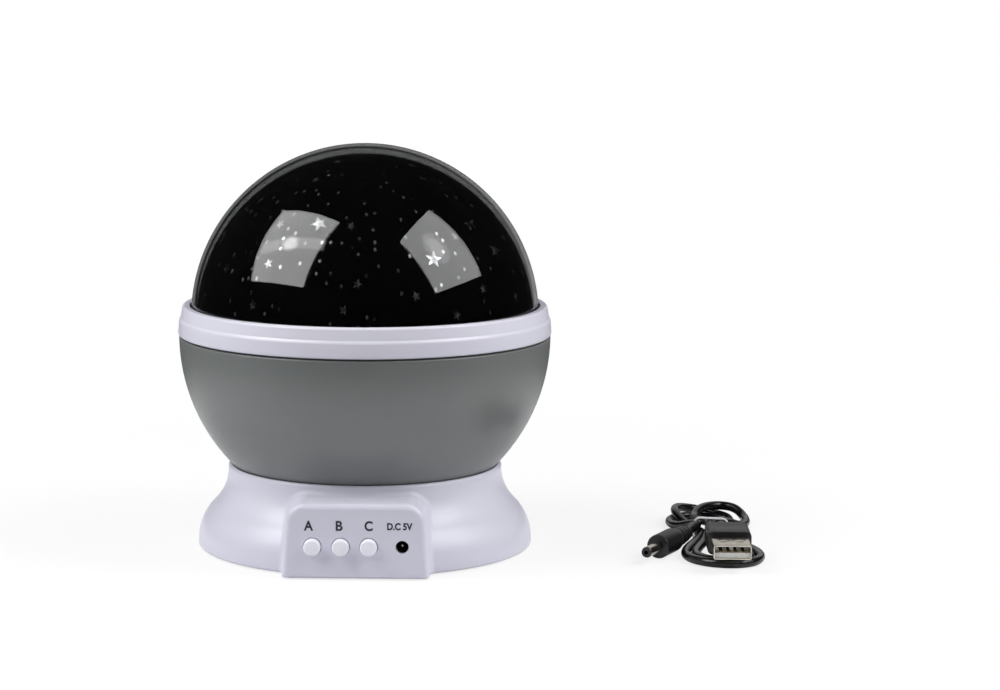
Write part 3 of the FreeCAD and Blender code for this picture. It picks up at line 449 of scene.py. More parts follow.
film = {
    "radius": 55.15, "wall": 0.6, "centreZ": 73.15, "flangeZ": 74.613, "flangeTopZ": 75.213,
    "flangeRadius": 58.35, "outsideSteps": 80, "insideSteps": 60, "columns": 256,
}


def makeHalfBall(name, material, slot, node, radius, wall, centreZ, flangeZ, flangeTopZ,
                 flangeRadius, outsideSteps, insideSteps, columns):
    # the flange round its foot, the outside up to the top and the inside back down
    top = centreZ + radius
    outline = np.vstack([
        [(flangeRadius, flangeZ), (flangeRadius, flangeTopZ)],
        ballArc(radius, centreZ, flangeTopZ, top, outsideSteps),
        ballArc(radius - wall, centreZ, flangeZ, top - wall, insideSteps)[::-1]])
    addPiece(name, [turned(outline, columns)], material, "cover", [node])


stars = {
    "seed": 7,
    # outline corners, outer and inner radius, how much taller, how many are scattered and the
    # least distance to the next
    "kinds": [
        (10, 3.0, 1.2, 1.0, 16, 2.4),
        (10, 1.65, 0.68, 1.1, 44, 2.4),
        (8, 0.5, 0.5, 1.4, 250, 1.2),
    ],
    # kind, azimuth round from the front and height angle of those that are placed one by one
    "placed": [
        (0, -16.8, 41), (0, 28.7, 27.8), (1, -35.3, 39.8), (1, -33.7, 25.5), (1, 41.5, 35.4),
        (1, -3.8, 11.5), (1, -36.8, 11.6), (1, 46.7, 62), (2, -30.7, 44.1), (2, -26.1, 36.8),
        (2, -13.8, 33.9), (2, -38.1, 32.9), (2, -20.5, 33.4), (2, -30.3, 30.9), (2, -28.3, 24.7),
        (2, -20.8, 26.3), (2, -37.2, 20.2), (2, 33.1, 36.8), (2, 33.4, 30.2), (2, 38.4, 29.2),
        (2, 40.4, 23.6), (2, 37.2, 21.1), (2, 46.8, 23.6), (2, 27.5, 17.7), (2, 3.5, 60.1),
        (2, -14.7, 64.3), (2, -29.2, 66.5), (2, 3.7, 45), (2, 0.6, 30), (2, 23.7, 52.1),
        (2, 6.8, 31.6), (2, 64.5, 46.2), (2, 80.3, 32.2), (2, 53.2, 22.8), (2, -45.5, 48.5),
        (2, -48, 59.8), (2, -12, 54.5)
    ],
    "tries": 9000,  # at most, for each kind
    "heights": (0.03, 0.995),  # lowest and highest, as a share of the ball's radius
    "twist": 0.5,  # radians that a star is turned at most
    "lift": 0.04,  # above the film
    "depth": 0.08,
}


def scatterStars(look):
    # the placed ones, then kind by kind at random over the half ball, kept where they stay clear
    # of the others
    chance = np.random.default_rng(look["seed"])
    kinds, azimuths, elevations = np.array(look["placed"]).T
    kept = list(wayTo(azimuths, elevations))
    kinds = [int(kind) for kind in kinds]
    sizes = [look["kinds"][kind][1] for kind in kinds]
    for kind, (_, outer, _, _, count, spacing) in enumerate(look["kinds"]):
        wanted = len(kept) + count
        for attempt in range(look["tries"]):
            if len(kept) == wanted:
                break
            height = chance.uniform(*look["heights"])
            turn = chance.uniform(0, 2 * math.pi)
            level = math.sqrt(1 - height * height)
            way = np.array([level * math.cos(turn), level * math.sin(turn), height])
            away = np.linalg.norm(np.array(kept) - way, axis=1) * film["radius"]
            if (away - sizes - outer).min() >= spacing:
                kept.append(way)
                sizes.append(outer)
                kinds.append(kind)
    return np.array(kept), np.array(kinds), chance


def starPatches(ways, turns, kind, look):
    # a star's outline r(k) alternates between two radii, is laid on the ball's tangent plane at
    # its place and pushed back to the ball; the lower copy lies inside the film, so that each
    # patch is a closed thin plate
    corners, outer, inner, tall = kind[:4]
    east = np.cross([0, 0, 1.0], ways)
    east /= np.linalg.norm(east, axis=1, keepdims=True)
    north = np.cross(ways, east)
    size = corners + 1  # the last point of each copy is its middle
    k = np.arange(size)
    radius = np.where(k % 2 == 0, outer, inner) * (k < corners)
    angle = 2 * np.pi * k / corners + math.pi / 2 + turns[:, None]
    u = (radius * np.cos(angle))[..., None]
    v = (radius * np.sin(angle) * tall)[..., None]
    way = ways[:, None] + (u * east[:, None] + v * north[:, None]) / film["radius"]
    way /= np.linalg.norm(way, axis=2, keepdims=True)
    upper = film["radius"] + look["lift"]
    points = np.concatenate([way * upper, way * (upper - look["depth"])], 1)
    k = k[:-1]
    following = (k + 1) % corners
    middle = np.full(corners, corners)
    groups = [np.stack([middle, k, following], -1),
              np.stack([middle, following, k], -1) + size,
              np.stack([k, k + size, following + size, following], -1)]
    starts = 2 * size * np.arange(len(ways))[:, None, None]
    faces = [(group + starts).reshape(-1, group.shape[1]) for group in groups]
    return moved((points.reshape(-1, 3), *faces), 0, 0, film["centreZ"])


def makeStars(look):
    ways, kinds, chance = scatterStars(look)
    shapes = []
    for number, kind in enumerate(look["kinds"]):
        chosen = ways[kinds == number]
        turns = chance.uniform(-look["twist"], look["twist"], len(chosen))
        shapes.append(starPatches(chosen, turns, kind, look))
    # the stars' finish paints glints: some stars pale, others nearly dark
    addPiece("film_stars", shapes, "star_film_with_painted_glints", "cover")


makeBowl(**ball)
makeRing(ring)
makeHalfBall("dome_shell", "moulded_clear_acrylic", "clear_acrylic", "clear_dome", **dome)
makeHalfBall("film_shell", "printed_black_film", "printed_film", "star_film", **film)
makeStars(stars)
print("ball made")


base = {
    "bottomZ": 0.3, "topZ": 27.2, "radius": 54.794, "neckRadius": 44.894, "widestZ": 2.0,
    "neckZ": 25.6, "wall": 2.0, "footRound": 0.7, "lipRound": 1.1, "socketRound": 0.2,
    "socketRadius": 60.9, "socketZ": 69.513, "panelFront": 57.294, "panelTopZ": 23.8,
    "panelBottomWidth": 46.4, "panelTopWidth": 42.8, "panelCorner": 5.6, "panelEdge": 1.9,
    "panelFillet": 1.8,
    "panelThicker": 0.8,  # by how much the panel's side walls are thicker than the wall
    "beyond": 99,  # distance from the panel at the back, where there is none
    # its grid of rays: radius and height of the ring that they start from, how far they reach and
    # how often that is halved, angles between which the columns and rows lie evenly, and their
    # numbers
    "coreRadius": 40.0, "coreZ": 12.0, "reach": 32.0, "halvings": 40,
    "turns": [-180, -32, -27.5, -15, 15, 27.5, 32, 180],
    "turnSteps": [74, 10, 104, 64, 104, 10, 74],
    "rises": [-30, 28, 37, 58, 68],
    "outsideSteps": [16, 34, 28, 18, 24, 30],
    "insideSteps": [3, 10, 5, 4, 4, 4],
}


def roundedMax(a, b, radius):
    # where both distances are near their surface, the corner between them is an arc
    return (np.minimum(np.maximum(a, b), -radius)
            + np.hypot(np.maximum(a + radius, 0), np.maximum(b + radius, 0)))


def filletedMin(a, b, radius):
    # the same for two shapes joined, which fills the corner between them with an arc
    return -roundedMax(-a, -b, radius)


def flareDistance(r, z):
    # distance from the ogee: two equal arcs with upright ends, which meet half way up
    radius, neckRadius, widestZ, neckZ = take(base, "radius neckRadius widestZ neckZ")
    run, rise = radius - neckRadius, neckZ - widestZ
    sweep = (run ** 2 + rise ** 2) / (4 * run)
    lowCentre = radius - sweep
    highCentre = neckRadius + sweep
    lower = np.hypot(r - lowCentre, z - widestZ) - sweep
    upper = sweep - np.hypot(r - highCentre, z - neckZ)
    below = (highCentre - lowCentre) * (z - widestZ) < rise * (r - lowCentre)
    middle = np.where(below, lower, upper)
    return np.where(z < widestZ, r - radius, np.where(z > neckZ, r - neckRadius, middle))


def panelDistance(x, y, z):
    # distance from the tapered panel block: its sides and top meet in round corners, and they
    # meet its front in a rounder rim
    low = base["panelBottomWidth"] / 2
    up = z - base["bottomZ"]
    slope = (low - base["panelTopWidth"] / 2) / (base["panelTopZ"] - base["bottomZ"])
    side = (np.abs(x) - low + slope * up) / math.hypot(1, slope)
    face = roundedMax(side, z - base["panelTopZ"], base["panelCorner"])
    block = roundedMax(face, -y - base["panelFront"], base["panelEdge"])
    return np.where(y < 0, block, base["beyond"])


def outerDistance(x, y, z):
    # flare and panel joined by a fillet, cut off at the lip and the foot, less the ball's socket
    flare = flareDistance(np.hypot(x, y), z)
    shape = filletedMin(flare, panelDistance(x, y, z), base["panelFillet"])
    shape = roundedMax(shape, z - base["topZ"], base["lipRound"])
    shape = roundedMax(shape, base["bottomZ"] - z, base["footRound"])
    socket = base["socketRadius"] - np.sqrt(x * x + y * y + (z - base["socketZ"]) ** 2)
    return roundedMax(shape, socket, base["socketRound"])


def innerDistance(x, y, z):
    # flare and panel joined, both less the wall
    panel = panelDistance(np.abs(x) + base["panelThicker"], y, z)
    return np.minimum(flareDistance(np.hypot(x, y), z), panel) + base["wall"]


def alongRays(distance, startZ, psi, cosT, sinT):
    # the point where each ray leaves the shape, by halving the interval again and again
    def at(s):
        r = base["coreRadius"] + s * np.cos(psi)
        return r * cosT, r * sinT, startZ + s * np.sin(psi)

    near = np.zeros(np.broadcast(psi, cosT).shape)
    far = near + base["reach"]
    for halving in range(base["halvings"]):
        s = (near + far) / 2
        inside = distance(*at(s)) < 0
        near = np.where(inside, s, near)
        far = np.where(inside, far, s)
    return np.stack(at(near), -1)


def uneven(stops, counts):
    # values from stop to stop, with as many steps in each stretch as its count says
    return np.concatenate([np.linspace(a, b, n, endpoint=False)
                           for a, b, n in zip(stops, stops[1:], counts)])


def makeBaseShell(look):
    # grid of rays from a ring inside the wall: columns go round, closer together at the panel's
    # sides, rows go from the bottom edge over the outside to the lip and back down the inside
    coreR, coreZ, bottomZ = take(look, "coreRadius coreZ bottomZ")
    turn = np.radians(uneven(look["turns"], look["turnSteps"]) - 90)
    cosT, sinT = np.cos(turn)[None], np.sin(turn)[None]
    bottom = alongRays(innerDistance, bottomZ, np.zeros((1, 1)), cosT, sinT)
    run = np.hypot(bottom[0, :, 0], bottom[0, :, 1]) - coreR
    low = np.degrees(np.arctan2(bottomZ - coreZ, run))
    lipR = look["neckRadius"] - look["wall"]
    lipZ = look["socketZ"] - math.sqrt(look["socketRadius"] ** 2 - lipR ** 2)
    high = math.degrees(math.atan2(lipZ - coreZ, lipR - coreR))
    lip = np.stack([lipR * cosT, lipR * sinT, np.full_like(cosT, lipZ)], -1)

    def shell(distance, counts):
        share = np.linspace(0, 1, counts[0], endpoint=False)[1:, None]
        first = low + share * (look["rises"][0] - low)
        rest = uneven([*look["rises"], high], counts[1:])[:, None] + 0 * low
        psi = np.radians(np.concatenate([first, rest]))
        return alongRays(distance, coreZ, psi, cosT, sinT)

    outside = shell(outerDistance, look["outsideSteps"])
    inside = shell(innerDistance, look["insideSteps"])[::-1]
    points = np.concatenate([bottom, outside, lip, inside])
    shape = points.reshape(-1, 3), gridFaces(*points.shape[:2])
    return addPiece("base_shell", [shape], "moulded_white_abs", "base", ["base_housing"])


buttons = {
    "radius": 2.7,
    "places": [-13.4, -4.55, 4.2],
    "z": 10.4, "proud": 2.3, "crown": 0.25, "crownSteps": 10, "edgeRound": 0.8,
    "edgeInset": 0.3,  # how far the edge's arc is carried in over the crown
    "edgeRise": 0.02, "flangeRadius": 3.6, "flangeFront": 55.194, "flangeBack": 54.194,
    "flangeRound": 0.1, "roundSteps": 6, "columns": 64,
    # the holes that they and the socket stand in: radius, chamfer, and how far the cutter reaches
    # behind and before the panel's front
    "hole": (2.86, 0.15), "socketHole": (2.05, 0.1), "socketX": 14.65, "cutBehind": 4,
    "cutBefore": 1, "cutColumns": 72,
}


def alongFront(shape, x, z):
    # lays a shape turned about Z so that its top looks out of the front: (x, y, h) goes to
    # (x, -h, z)
    points, faces = shape
    return np.stack([points[:, 0] + x, -points[:, 2], points[:, 1] + z], -1), faces


def cutOut(piece, cutters, crease=35):
    # takes the cutters out of the piece and keeps the result as its mesh
    tool = bpy.data.objects.new("cutter", meshOf("cutter", cutters))
    scene.collection.objects.link(tool)
    cut = piece.modifiers.new("cut", "BOOLEAN")
    cut.operation = "DIFFERENCE"
    cut.solver = "EXACT"
    cut.object = tool
    result = finalMesh(piece)
    piece.modifiers.clear()
    result.name = piece.data.name
    piece.data = result
    bpy.data.objects.remove(tool)
    shadeSmooth(result, crease)


def holeCutter(x, radius, chamfer):
    # a plug through the panel's front that widens to twice the chamfer there
    front = base["panelFront"]
    back, beyond = front - buttons["cutBehind"], front + buttons["cutBefore"]
    wide = radius + chamfer * 2
    outline = [(0, back), (radius, back), (radius, front - chamfer), (wide, front + chamfer),
               (wide, beyond), (0, beyond)]
    return alongFront(turned(outline, buttons["cutColumns"]), x, buttons["z"])


def makeButtons(look):
    # flange, side and rounded edge, and a crown that falls from its middle by the radius squared
    radius, edgeRound, flangeRadius = take(look, "radius edgeRound flangeRadius")
    flangeFront, flangeBack, flangeRound = take(look, "flangeFront flangeBack flangeRound")
    tip = base["panelFront"] + look["proud"]
    edge = radius - edgeRound
    across = np.linspace(edge, 0, look["crownSteps"])
    crown = np.stack([across, tip - look["crown"] * (across / radius) ** 2], -1)
    shoulder = crown[0, 1] + look["edgeRise"]
    side = rounded([(0, flangeBack, 0), (flangeRadius, flangeBack, flangeRound),
                    (flangeRadius, flangeFront, flangeRound), (radius, flangeFront, 0),
                    (radius, shoulder, edgeRound), (edge - look["edgeInset"], shoulder, 0)],
                   look["roundSteps"])
    cap = turned(np.vstack([side[:-1], crown[2:]]), look["columns"])
    bodies = "first_button", "second_button", "third_button"
    for letter, body, x in zip("abc", bodies, look["places"]):
        addPiece("cap_" + letter, [alongFront(cap, x, look["z"])], "polished_white_abs", body,
                 ["button_" + letter])


deck = {
    "bottomZ": 15.0, "topZ": 17.0, "radius": 46.4, "topRadius": 45.2, "columns": 120,
    "postRadius": 3.0, "postHole": 1.06, "postBottomZ": 2.3, "postAngle": 20.0, "postColumns": 40,
    "shaftHole": (0, 24.0, 3.0),  # x, y and radius
    "wireHole": (0, -37.4, 1.3), "cutBeyond": 1, "cutColumns": 32,
}


def makeDeck(look):
    # the floor inside the base that the column stands on and the motor hangs from, and the screw
    # posts under it
    radius, bottomZ, topZ, postAngle = take(look, "radius bottomZ topZ postAngle")
    plate = turned([(0, bottomZ), (radius, bottomZ), (look["topRadius"], topZ), (0, topZ)],
                   look["columns"])
    piece = addPiece("base_deck", [plate], "moulded_white_abs", "base")
    low, high = bottomZ - look["cutBeyond"], topZ + look["cutBeyond"]
    cutOut(piece, [moved(tubeShape(r, 0, low, high, look["cutColumns"]), x, y)
                   for x, y, r in (look["shaftHole"], look["wireHole"])])
    outer, inner, low = take(look, "postRadius postHole postBottomZ")
    post = tubeShape(outer, inner, low, bottomZ, look["postColumns"])
    angles = np.radians([postAngle, 180 - postAngle, 180 + postAngle, 360 - postAngle])
    places = base["neckRadius"] * np.stack([np.cos(angles), np.sin(angles)], -1)
    addPiece("base_posts", [moved(post, *place) for place in places], "moulded_white_abs",
             "base")


baseShell = makeBaseShell(base)
cutOut(baseShell, [holeCutter(x, *buttons["hole"]) for x in buttons["places"]]
       + [holeCutter(buttons["socketX"], *buttons["socketHole"])])
makeButtons(buttons)
makeDeck(deck)
print("base made")


lettering = {
    # text, middle x, middle z, cap height, width beside the font's own, and how much the strokes
    # are thickened, as a share of the letter
    "words": [
        ("A", -14.5, 17.1, 3.2, 0.9, 0.033),
        ("B", -4.95, 17.1, 3.2, 0.96, 0.03),
        ("C", 4.2, 17.1, 3.2, 0.9, 0.036),
        ("D.C 5V", 13.9, 17.0, 2.35, 0.86, 0.045),
    ],
    "thickness": 0.02,
    "sunk": 0.004,  # how far their backs lie inside the panel's face
}


def makeLettering(look):
    # built-in sans letters as thin plates that stand on the panel's face
    middleY = look["sunk"] - base["panelFront"] - look["thickness"] / 2
    for letter, (text, x, z, tall, narrow, weight) in zip("abcd", look["words"]):
        curve = bpy.data.curves.new("label", "FONT")
        curve.body = text
        curve.align_x = "CENTER"
        curve.offset = weight
        curve.extrude = look["thickness"] / 2 / tall
        shown = bpy.data.objects.new("label", curve)
        scene.collection.objects.link(shown)
        mesh = finalMesh(shown)
        bpy.data.objects.remove(shown)
        flat = np.empty(len(mesh.vertices) * 3)
        mesh.vertices.foreach_get("co", flat)
        across, up, out = flat.reshape(-1, 3).T
        size = tall / np.ptp(up)
        across = (across - (across.min() + across.max()) / 2) * size * narrow + x
        up = (up - (up.min() + up.max()) / 2) * size + z
        placed = np.stack([across, middleY - out * tall, up], -1) * mm
        mesh.vertices.foreach_set("co", placed.ravel())
        mesh.materials.clear()
        mesh.name = "label_" + letter
        addObject(mesh, "pad_printed_ink", "base")


makeLettering(lettering)
print("lettering made")


def besideShape(shape, x=0, z=0):
    # the same shape measured from the middle of the tie
    return moved(shape, lead["tieX"] + x, lead["tieY"], z)


def boxLoop(halfWidth, halfHeight, corner, steps=6):
    # rounded rectangle as one ring of points (x, z)
    return rounded([(-halfWidth, -halfHeight, corner), (halfWidth, -halfHeight, corner),
                    (halfWidth, halfHeight, corner), (-halfWidth, halfHeight, corner)], steps)


def skinned(rings, close):
    # rings of equal point counts joined into a skin, which closes on its first ring or else is
    # closed at both ends by their middles
    if not close:
        ends = [np.broadcast_to(ring.mean(0), ring.shape) for ring in (rings[0], rings[-1])]
        rings = [ends[0], *rings, ends[1]]
    points = np.stack(rings)
    return points.reshape(-1, 3), gridFaces(*points.shape[:2], close)


def standAt(loop, y):
    # a ring of points (x, z) as one of points (x, y, z)
    return np.stack([loop[:, 0], np.broadcast_to(y, len(loop)), loop[:, 1]], -1)


roundPlug = {
    "angle": 25.0,  # degrees that its barrel points left of the front
    # distance from its axis, distance along it and round of each corner
    "thinEnd": [(0, 0, 0), (2.2, 0, 0.3)],
    "body": [(3.35, 10.6, 0.8), (3.9, 12.8, 1.2), (3.9, 25.0, 0.6), (0, 25.0, 0)],
    "barrel": [(1.25, 25.0, 0), (1.75, 25.0, 0), (1.75, 34.2, 0.12), (1.25, 34.2, 0.1)],
    # where the grooves start, the cone that they are cut in, and a groove's corners beside it
    "grooves": [1.6, 4.9, 8.2],
    "coneRadius": 2.3, "coneSlope": 0.095,
    "groove": [(0, 0, 0.15), (-0.55, 0.3, 0.15), (-0.5, 1.1, 0.15), (0.25, 1.35, 0.25)],
    "roundSteps": 4, "columns": 64, "crease": 50,
}


def alongRoundPlug(corners, look):
    # turns an outline round the plug's axis: its height goes along the plug, away from the cord
    points, faces = turned(rounded(corners, look["roundSteps"]), look["columns"])
    x, y, z = points.T
    turn = math.radians(look["angle"])
    along = np.stack([x * math.cos(turn) - z * math.sin(turn),
                      -x * math.sin(turn) - z * math.cos(turn), y], -1)
    return besideShape((along + lead["route"][0], faces))


def makeRoundPlug(look):
    corners = list(look["thinEnd"])
    for low in look["grooves"]:
        radius = look["coneRadius"] + look["coneSlope"] * low
        corners += [(radius + r, low + h, corner) for r, h, corner in look["groove"]]
    grip = addPiece("round_plug_grip", [alongRoundPlug(corners + look["body"], look)],
                    "moulded_black_pvc", "base", ["dc_plug_grip"], look["crease"])
    tube = addPiece("round_plug_barrel", [alongRoundPlug(look["barrel"], look)],
                    "rolled_nickel_plate", "base", ["dc_plug_barrel"])
    return [grip, tube]


flatPlug = {
    "x": 3.5, "z": 7.05,
    # half width, half thickness, round and least round of each part, then the y of each of its
    # sections from the tie and by how much it is drawn in there
    "neck": (2.95, 2.95, 2.93, 0, [(-17.8, 0.4), (-17.95, 0.12), (-18.3, 0.0), (-22.3, 0.0)]),
    "grip": (7.05, 3.8, 1.8, 0.5, [(-21.7, 0.9), (-22.0, 0.35), (-22.6, 0.0), (-37.7, 0.0),
                                   (-38.08, 0.15), (-38.2, 0.5)]),
    "shell": (6.0, 2.25, 0.55, 0.15, [(-38.2, 0.0), (-51.88, 0.0), (-52.0, 0.06), (-52.0, 0.35),
                                      (-38.2, 0.35)]),
    "crease": 40,
    # windows in the shell: half their width, round, half the cutter's height, and their y
    "window": 1.2, "windowRound": 0.05, "windowHeight": 2.0, "windowY": -45.1,
}


def makeFlatPlug(look):
    x, z, half, high, middle = take(look, "x z window windowHeight windowY")

    def part(name, close=False):
        halfWidth, halfThickness, corner, least, steps = look[name]
        rings = [standAt(boxLoop(halfWidth - inset, halfThickness - inset,
                                 max(corner - inset, least)), y) for y, inset in steps]
        return besideShape(skinned(rings, close), x, z)

    grip = addPiece("flat_plug_grip", [part("grip"), part("neck")], "moulded_black_pvc", "base",
                    ["usb_plug_grip"], look["crease"])
    shell = addPiece("flat_plug_shell", [part("shell", True)], "rolled_nickel_plate", "base",
                     ["usb_plug_shell"])
    square = boxLoop(half, high, look["windowRound"], 2)
    hole = skinned([standAt(square, middle - half), standAt(square, middle + half)], False)
    cutOut(shell, [besideShape(hole, x + side * 2 * half, z + high) for side in (-1, 1)])
    return [grip, shell]


tie = {
    "halfWidth": 5.75, "middleZ": 4.0, "halfHeight": 3.6, "corner": 2.0, "innerCorner": 1.6,
    "thickness": 0.5,
    # share of the thickness from the inside and distance from the band's middle of each line
    # round its section
    "section": [(0, -0.65), (0, 0.65), (0.3, 0.725), (1, 0.5), (1, -0.5), (0.3, -0.725)],
    "roundSteps": 8, "back": -0.2,
    "slant": -0.17,  # how far the band runs back per mm to the right
    "rise": 0.7,  # how far its middle runs back beside its ends
    "bend": 1.4, "crease": 50,
    # the loose end: its way, its half width and half thickness and its steps along and around
    "tail": [(-5.9, 1.2, 3.6), (-6.3, -0.6, 3.2), (-6.5, -2.8, 2.6), (-6.1, -5.0, 2.2)],
    "tailSize": (0.25, 0.6), "tailSteps": (16, 12),
}


def makeTie(look):
    # a flat band carried round a rounded rectangle that stands across the bundle, run back by
    # slant x + rise cos(bend x / half width), and its loose end
    halfWidth, halfHeight, thickness, steps = take(
        look, "halfWidth halfHeight thickness roundSteps")
    inner = boxLoop(halfWidth - thickness, halfHeight - thickness, look["innerCorner"], steps)
    outer = boxLoop(halfWidth, halfHeight, look["corner"], steps)
    rings = []
    for share, offset in look["section"]:
        loop = outer * share + inner * (1 - share)
        bent = look["rise"] * np.cos(loop[:, 0] / halfWidth * look["bend"])
        y = offset + look["slant"] * loop[:, 0] + bent + look["back"]
        rings.append(standAt(loop + [0, look["middleZ"]], y))
    way = np.array(look["tail"])
    along, around = look["tailSteps"]
    places = np.linspace(0, len(way) - 1, along)
    fine = np.stack([np.interp(places, np.arange(len(way)), axis) for axis in way.T], -1)
    turn = np.linspace(0, 2 * np.pi, around, endpoint=False)
    wide, high = look["tailSize"]
    loop = standAt(np.stack([wide * np.cos(turn), high * np.sin(turn)], -1), 0)
    return addPiece("bundle_tie", [besideShape(skinned(rings, True)),
                                   besideShape(skinned([loop + place for place in fine], False))],
                    "drawn_white_polythene", "base", ["lead_tie"], look["crease"])


onCord = makeRoundPlug(roundPlug) + makeFlatPlug(flatPlug) + [makeTie(tie)]
onCord += [nodes[name] for name in ("dc_plug_tip", "usb_plug_tongue", "usb_plug_contacts")]
leadPieces = bpy.data.collections.new("lead_pieces")
for piece in [cord] + onCord:
    leadPieces.objects.link(piece)
print("plugs and tie made")


studio = {
    "floorRadius": 330, "floorZ": (-1.2, -0.2), "floorColumns": 128,
    "fade": (130, 320.1),  # from the middle, where the floor starts and ends to fade
    "floorColour": "#F4F4F6",
    "floorShown": 0.22,  # share of the floor's own light and shade that the eye sees
    "bounceColour": "#D2D2D6",       # what matt surfaces get back from the floor
    "ambient": 0.06,  # what matt surfaces get from the world
    "behind": 0.02,  # what gloss sees behind the object
    "through": 0.95,  # the same after a bounce inside clear plastic
    "straight": 0.13,  # what is seen straight through both walls of the dome
    "around": 0.008,  # what gloss sees elsewhere
    "backdrop": (0, 0.94, -0.34),  # way to the middle of the backdrop
    "backdropEdge": (0.8, 0.98),  # cosine of the angle from it at which it starts and is full
    "rim": (0, 0.985, -0.17),  # the same two for what the dome's edge shows after a bounce
    "rimEdge": (0.89, 0.985),  # in one wall
    "oneWall": 2.5,  # surfaces that a ray goes through in one wall, and half of one more
    # way (azimuth, elevation) and distance of each lamp from the dome's middle, way that its back
    # looks, width, height, twist, power, shape and if gloss sees it
    "lamps": [
        ("left_softbox", (-69.2, 42.6), 750, (-46.6, 42.4), 576, 590, 1.8, 4.3, "RECTANGLE", True),
        ("left_tube", (-66.2, 44.2), 742, (-46.6, 42.4), 560, 90, 13, 0.25, "RECTANGLE", True),
        ("left_glow", (-66.2, 44.2), 738, (-46.6, 42.4), 150, 125, 1.8, 0.1, "ELLIPSE", True),
        ("left_bulb", (-66.2, 44.2), 734, (-46.6, 42.4), 105, 85, 1.8, 0.085, "ELLIPSE", True),
        ("right_softbox", (67.7, 41.5), 750, (79.6, 31.2), 513, 551, -1.1, 2.85, "RECTANGLE", True),
        ("right_glow", (66.3, 43.6), 740, (79.6, 31.2), 190, 260, -1.1, 0.15, "ELLIPSE", True),
        ("right_bulb", (66.3, 43.6), 734, (79.6, 31.2), 110, 160, -1.1, 0.06, "ELLIPSE", True),
        ("left_fill", (-95, 30), 800, (-95, 30), 700, 700, 0, 2.3, "RECTANGLE", False),
        ("right_fill", (95, 30), 800, (95, 30), 700, 700, 0, 3.5, "RECTANGLE", False),
        ("lead_card", (168, 24), 560, (175, 28), 700, 460, 0, 0.65, "RECTANGLE", True),
        ("front_fill", (3, 22), 900, (3, 22), 800, 700, 0, 0.85, "RECTANGLE", False),
    ],
}


def makeFloor(look):
    # lit where the object stands, so that it keeps the shadow, and fading to plain white at its
    # edge; the eye sees it nearly white all over, and matt surfaces get a greyer light from it
    low, high = look["floorZ"]
    disc = tubeShape(look["floorRadius"], 0, low, high, look["floorColumns"])
    floor = bpy.data.objects.new("floor", meshOf("floor", [disc]))
    scene.collection.objects.link(floor)
    material = bpy.data.materials.new("studio_floor")
    add, place = startNodes(material)
    seen = add("LightPath", {}).outputs
    direct = add("Math", {0: seen["Is Camera Ray"], 1: seen["Is Transmission Ray"]}, operation="MAXIMUM")
    gloss = add("Math", {0: seen["Is Glossy Ray"], 1: look["behind"]}, operation="MULTIPLY")
    shown = add("Math", {0: direct, 1: gloss}, operation="MAXIMUM")
    away = add("VectorMath", {0: place}, operation="LENGTH").outputs["Value"]
    fade = add("MapRange", {"Value": away, "From Min": look["fade"][0] * mm,
                            "From Max": look["fade"][1] * mm}, interpolation_type="SMOOTHSTEP")
    lit = add("BsdfDiffuse", {"Color": toLinear(look["floorColour"])})
    paler = add("MixShader", {0: look["floorShown"], 1: add("Emission", {}), 2: lit})
    bounce = add("BsdfDiffuse", {"Color": toLinear(look["bounceColour"])})
    back = add("MixShader", {0: seen["Is Diffuse Ray"], 1: lit, 2: bounce})
    near = add("MixShader", {0: seen["Is Camera Ray"], 1: back, 2: paler})
    white = add("Emission", {"Strength": shown})
    add("OutputMaterial", {"Surface": add("MixShader", {0: fade, 1: near, 2: white})})
    floor.data.materials.append(material)


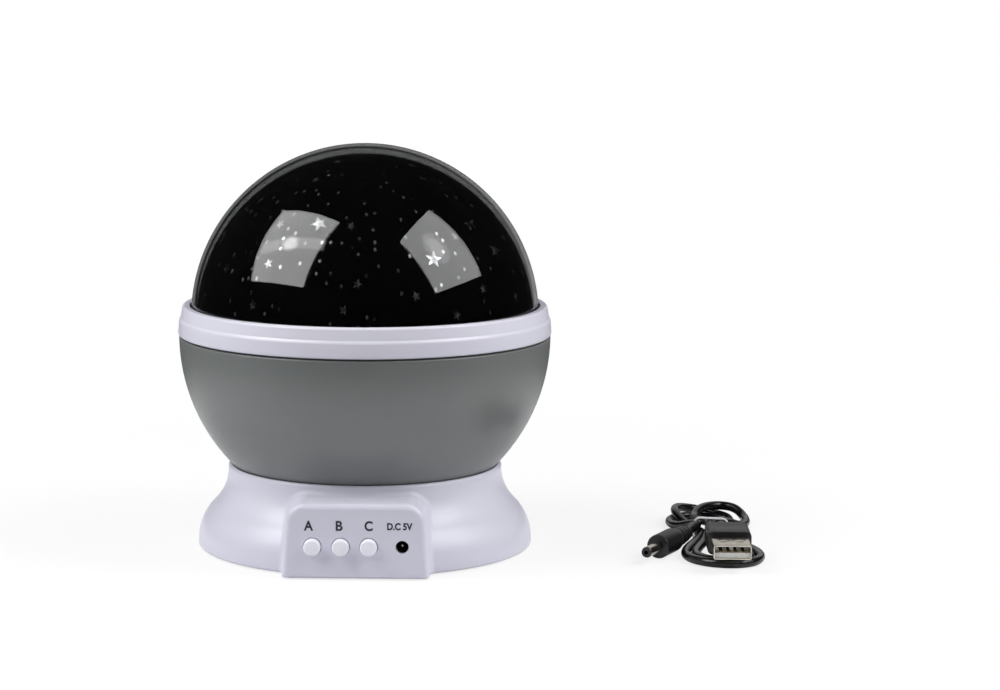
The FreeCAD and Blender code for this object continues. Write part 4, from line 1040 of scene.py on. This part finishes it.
def makeWorld(look):
    # white to the eye and soft light for matt surfaces; gloss sees a backdrop behind the object
    # and a dim room elsewhere; through clear plastic a ray that went straight sees the even
    # "straight", and one that bounced sees the backdrop, or the rim's light after one wall
    scene.world = bpy.data.worlds.new("studio")
    add, place = startNodes(scene.world)
    seen = add("LightPath", {}).outputs
    clear = seen["Is Transmission Ray"]

    def spot(way, edge, full):
        # full where the cosine of the angle from the way is past the edge, "around" before it
        cosine = add("VectorMath", {0: place, 1: way}, operation="DOT_PRODUCT").outputs["Value"]
        return add("MapRange", {"Value": cosine, "From Min": edge[0], "From Max": edge[1],
                                "To Min": look["around"], "To Max": full})

    backdrop = add("Mix", {0: clear, 2: look["behind"], 3: look["through"]})
    behind = spot(look["backdrop"], look["backdropEdge"], backdrop)
    rim = spot(look["rim"], look["rimEdge"], 1.0)
    oneWall = add("Math", {0: seen["Transmission Depth"], 1: look["oneWall"]}, operation="LESS_THAN")
    inWall = add("Math", {0: clear, 1: oneWall}, operation="MULTIPLY")
    inside = add("Mix", {0: inWall, 2: behind, 3: rim})
    straight = add("Math", {0: seen["Glossy Depth"], 1: 0.5}, operation="LESS_THAN")
    through = add("Math", {0: clear, 1: straight}, operation="MULTIPLY")
    bounced = add("Math", {0: seen["Is Glossy Ray"], 1: clear}, operation="MAXIMUM")
    gloss = add("Mix", {0: bounced, 2: look["ambient"], 3: inside})
    dimmed = add("Mix", {0: through, 2: gloss, 3: look["straight"]})
    strength = add("Mix", {0: seen["Is Camera Ray"], 2: dimmed, 3: 1.0})
    light = add("Background", {"Color": (1, 1, 1, 1), "Strength": strength})
    add("OutputWorld", {"Surface": light})


def makeLamps(look):
    # each lamp's back looks along its own direction, and it is twisted round that
    middle = Vector((0, 0, dome["centreZ"] * mm))
    for name, way, distance, facing, width, height, twist, power, shape, shiny in look["lamps"]:
        back = Vector(wayTo(*facing))
        across = Vector((0, 0, 1)).cross(back).normalized()
        twist = math.radians(twist)
        x = across * math.cos(twist) + back.cross(across) * math.sin(twist)
        data = bpy.data.lights.new(name, "AREA")
        data.shape = shape
        data.size = width * mm
        data.size_y = height * mm
        data.energy = power
        lamp = bpy.data.objects.new(name, data)
        place = middle + Vector(wayTo(*way)) * distance * mm
        lamp.matrix_world = standing(place, x, back.cross(x), back)
        lamp.visible_camera = False
        lamp.visible_glossy = shiny
        lamp.visible_transmission = shiny
        scene.collection.objects.link(lamp)
        if name == "lead_card":  # a card that only the lead sees, for its metal to show
            lamp.light_linking.receiver_collection = leadPieces


makeFloor(studio)
makeWorld(studio)
makeLamps(studio)
scene.view_settings.view_transform = "Standard"
print("studio lit")
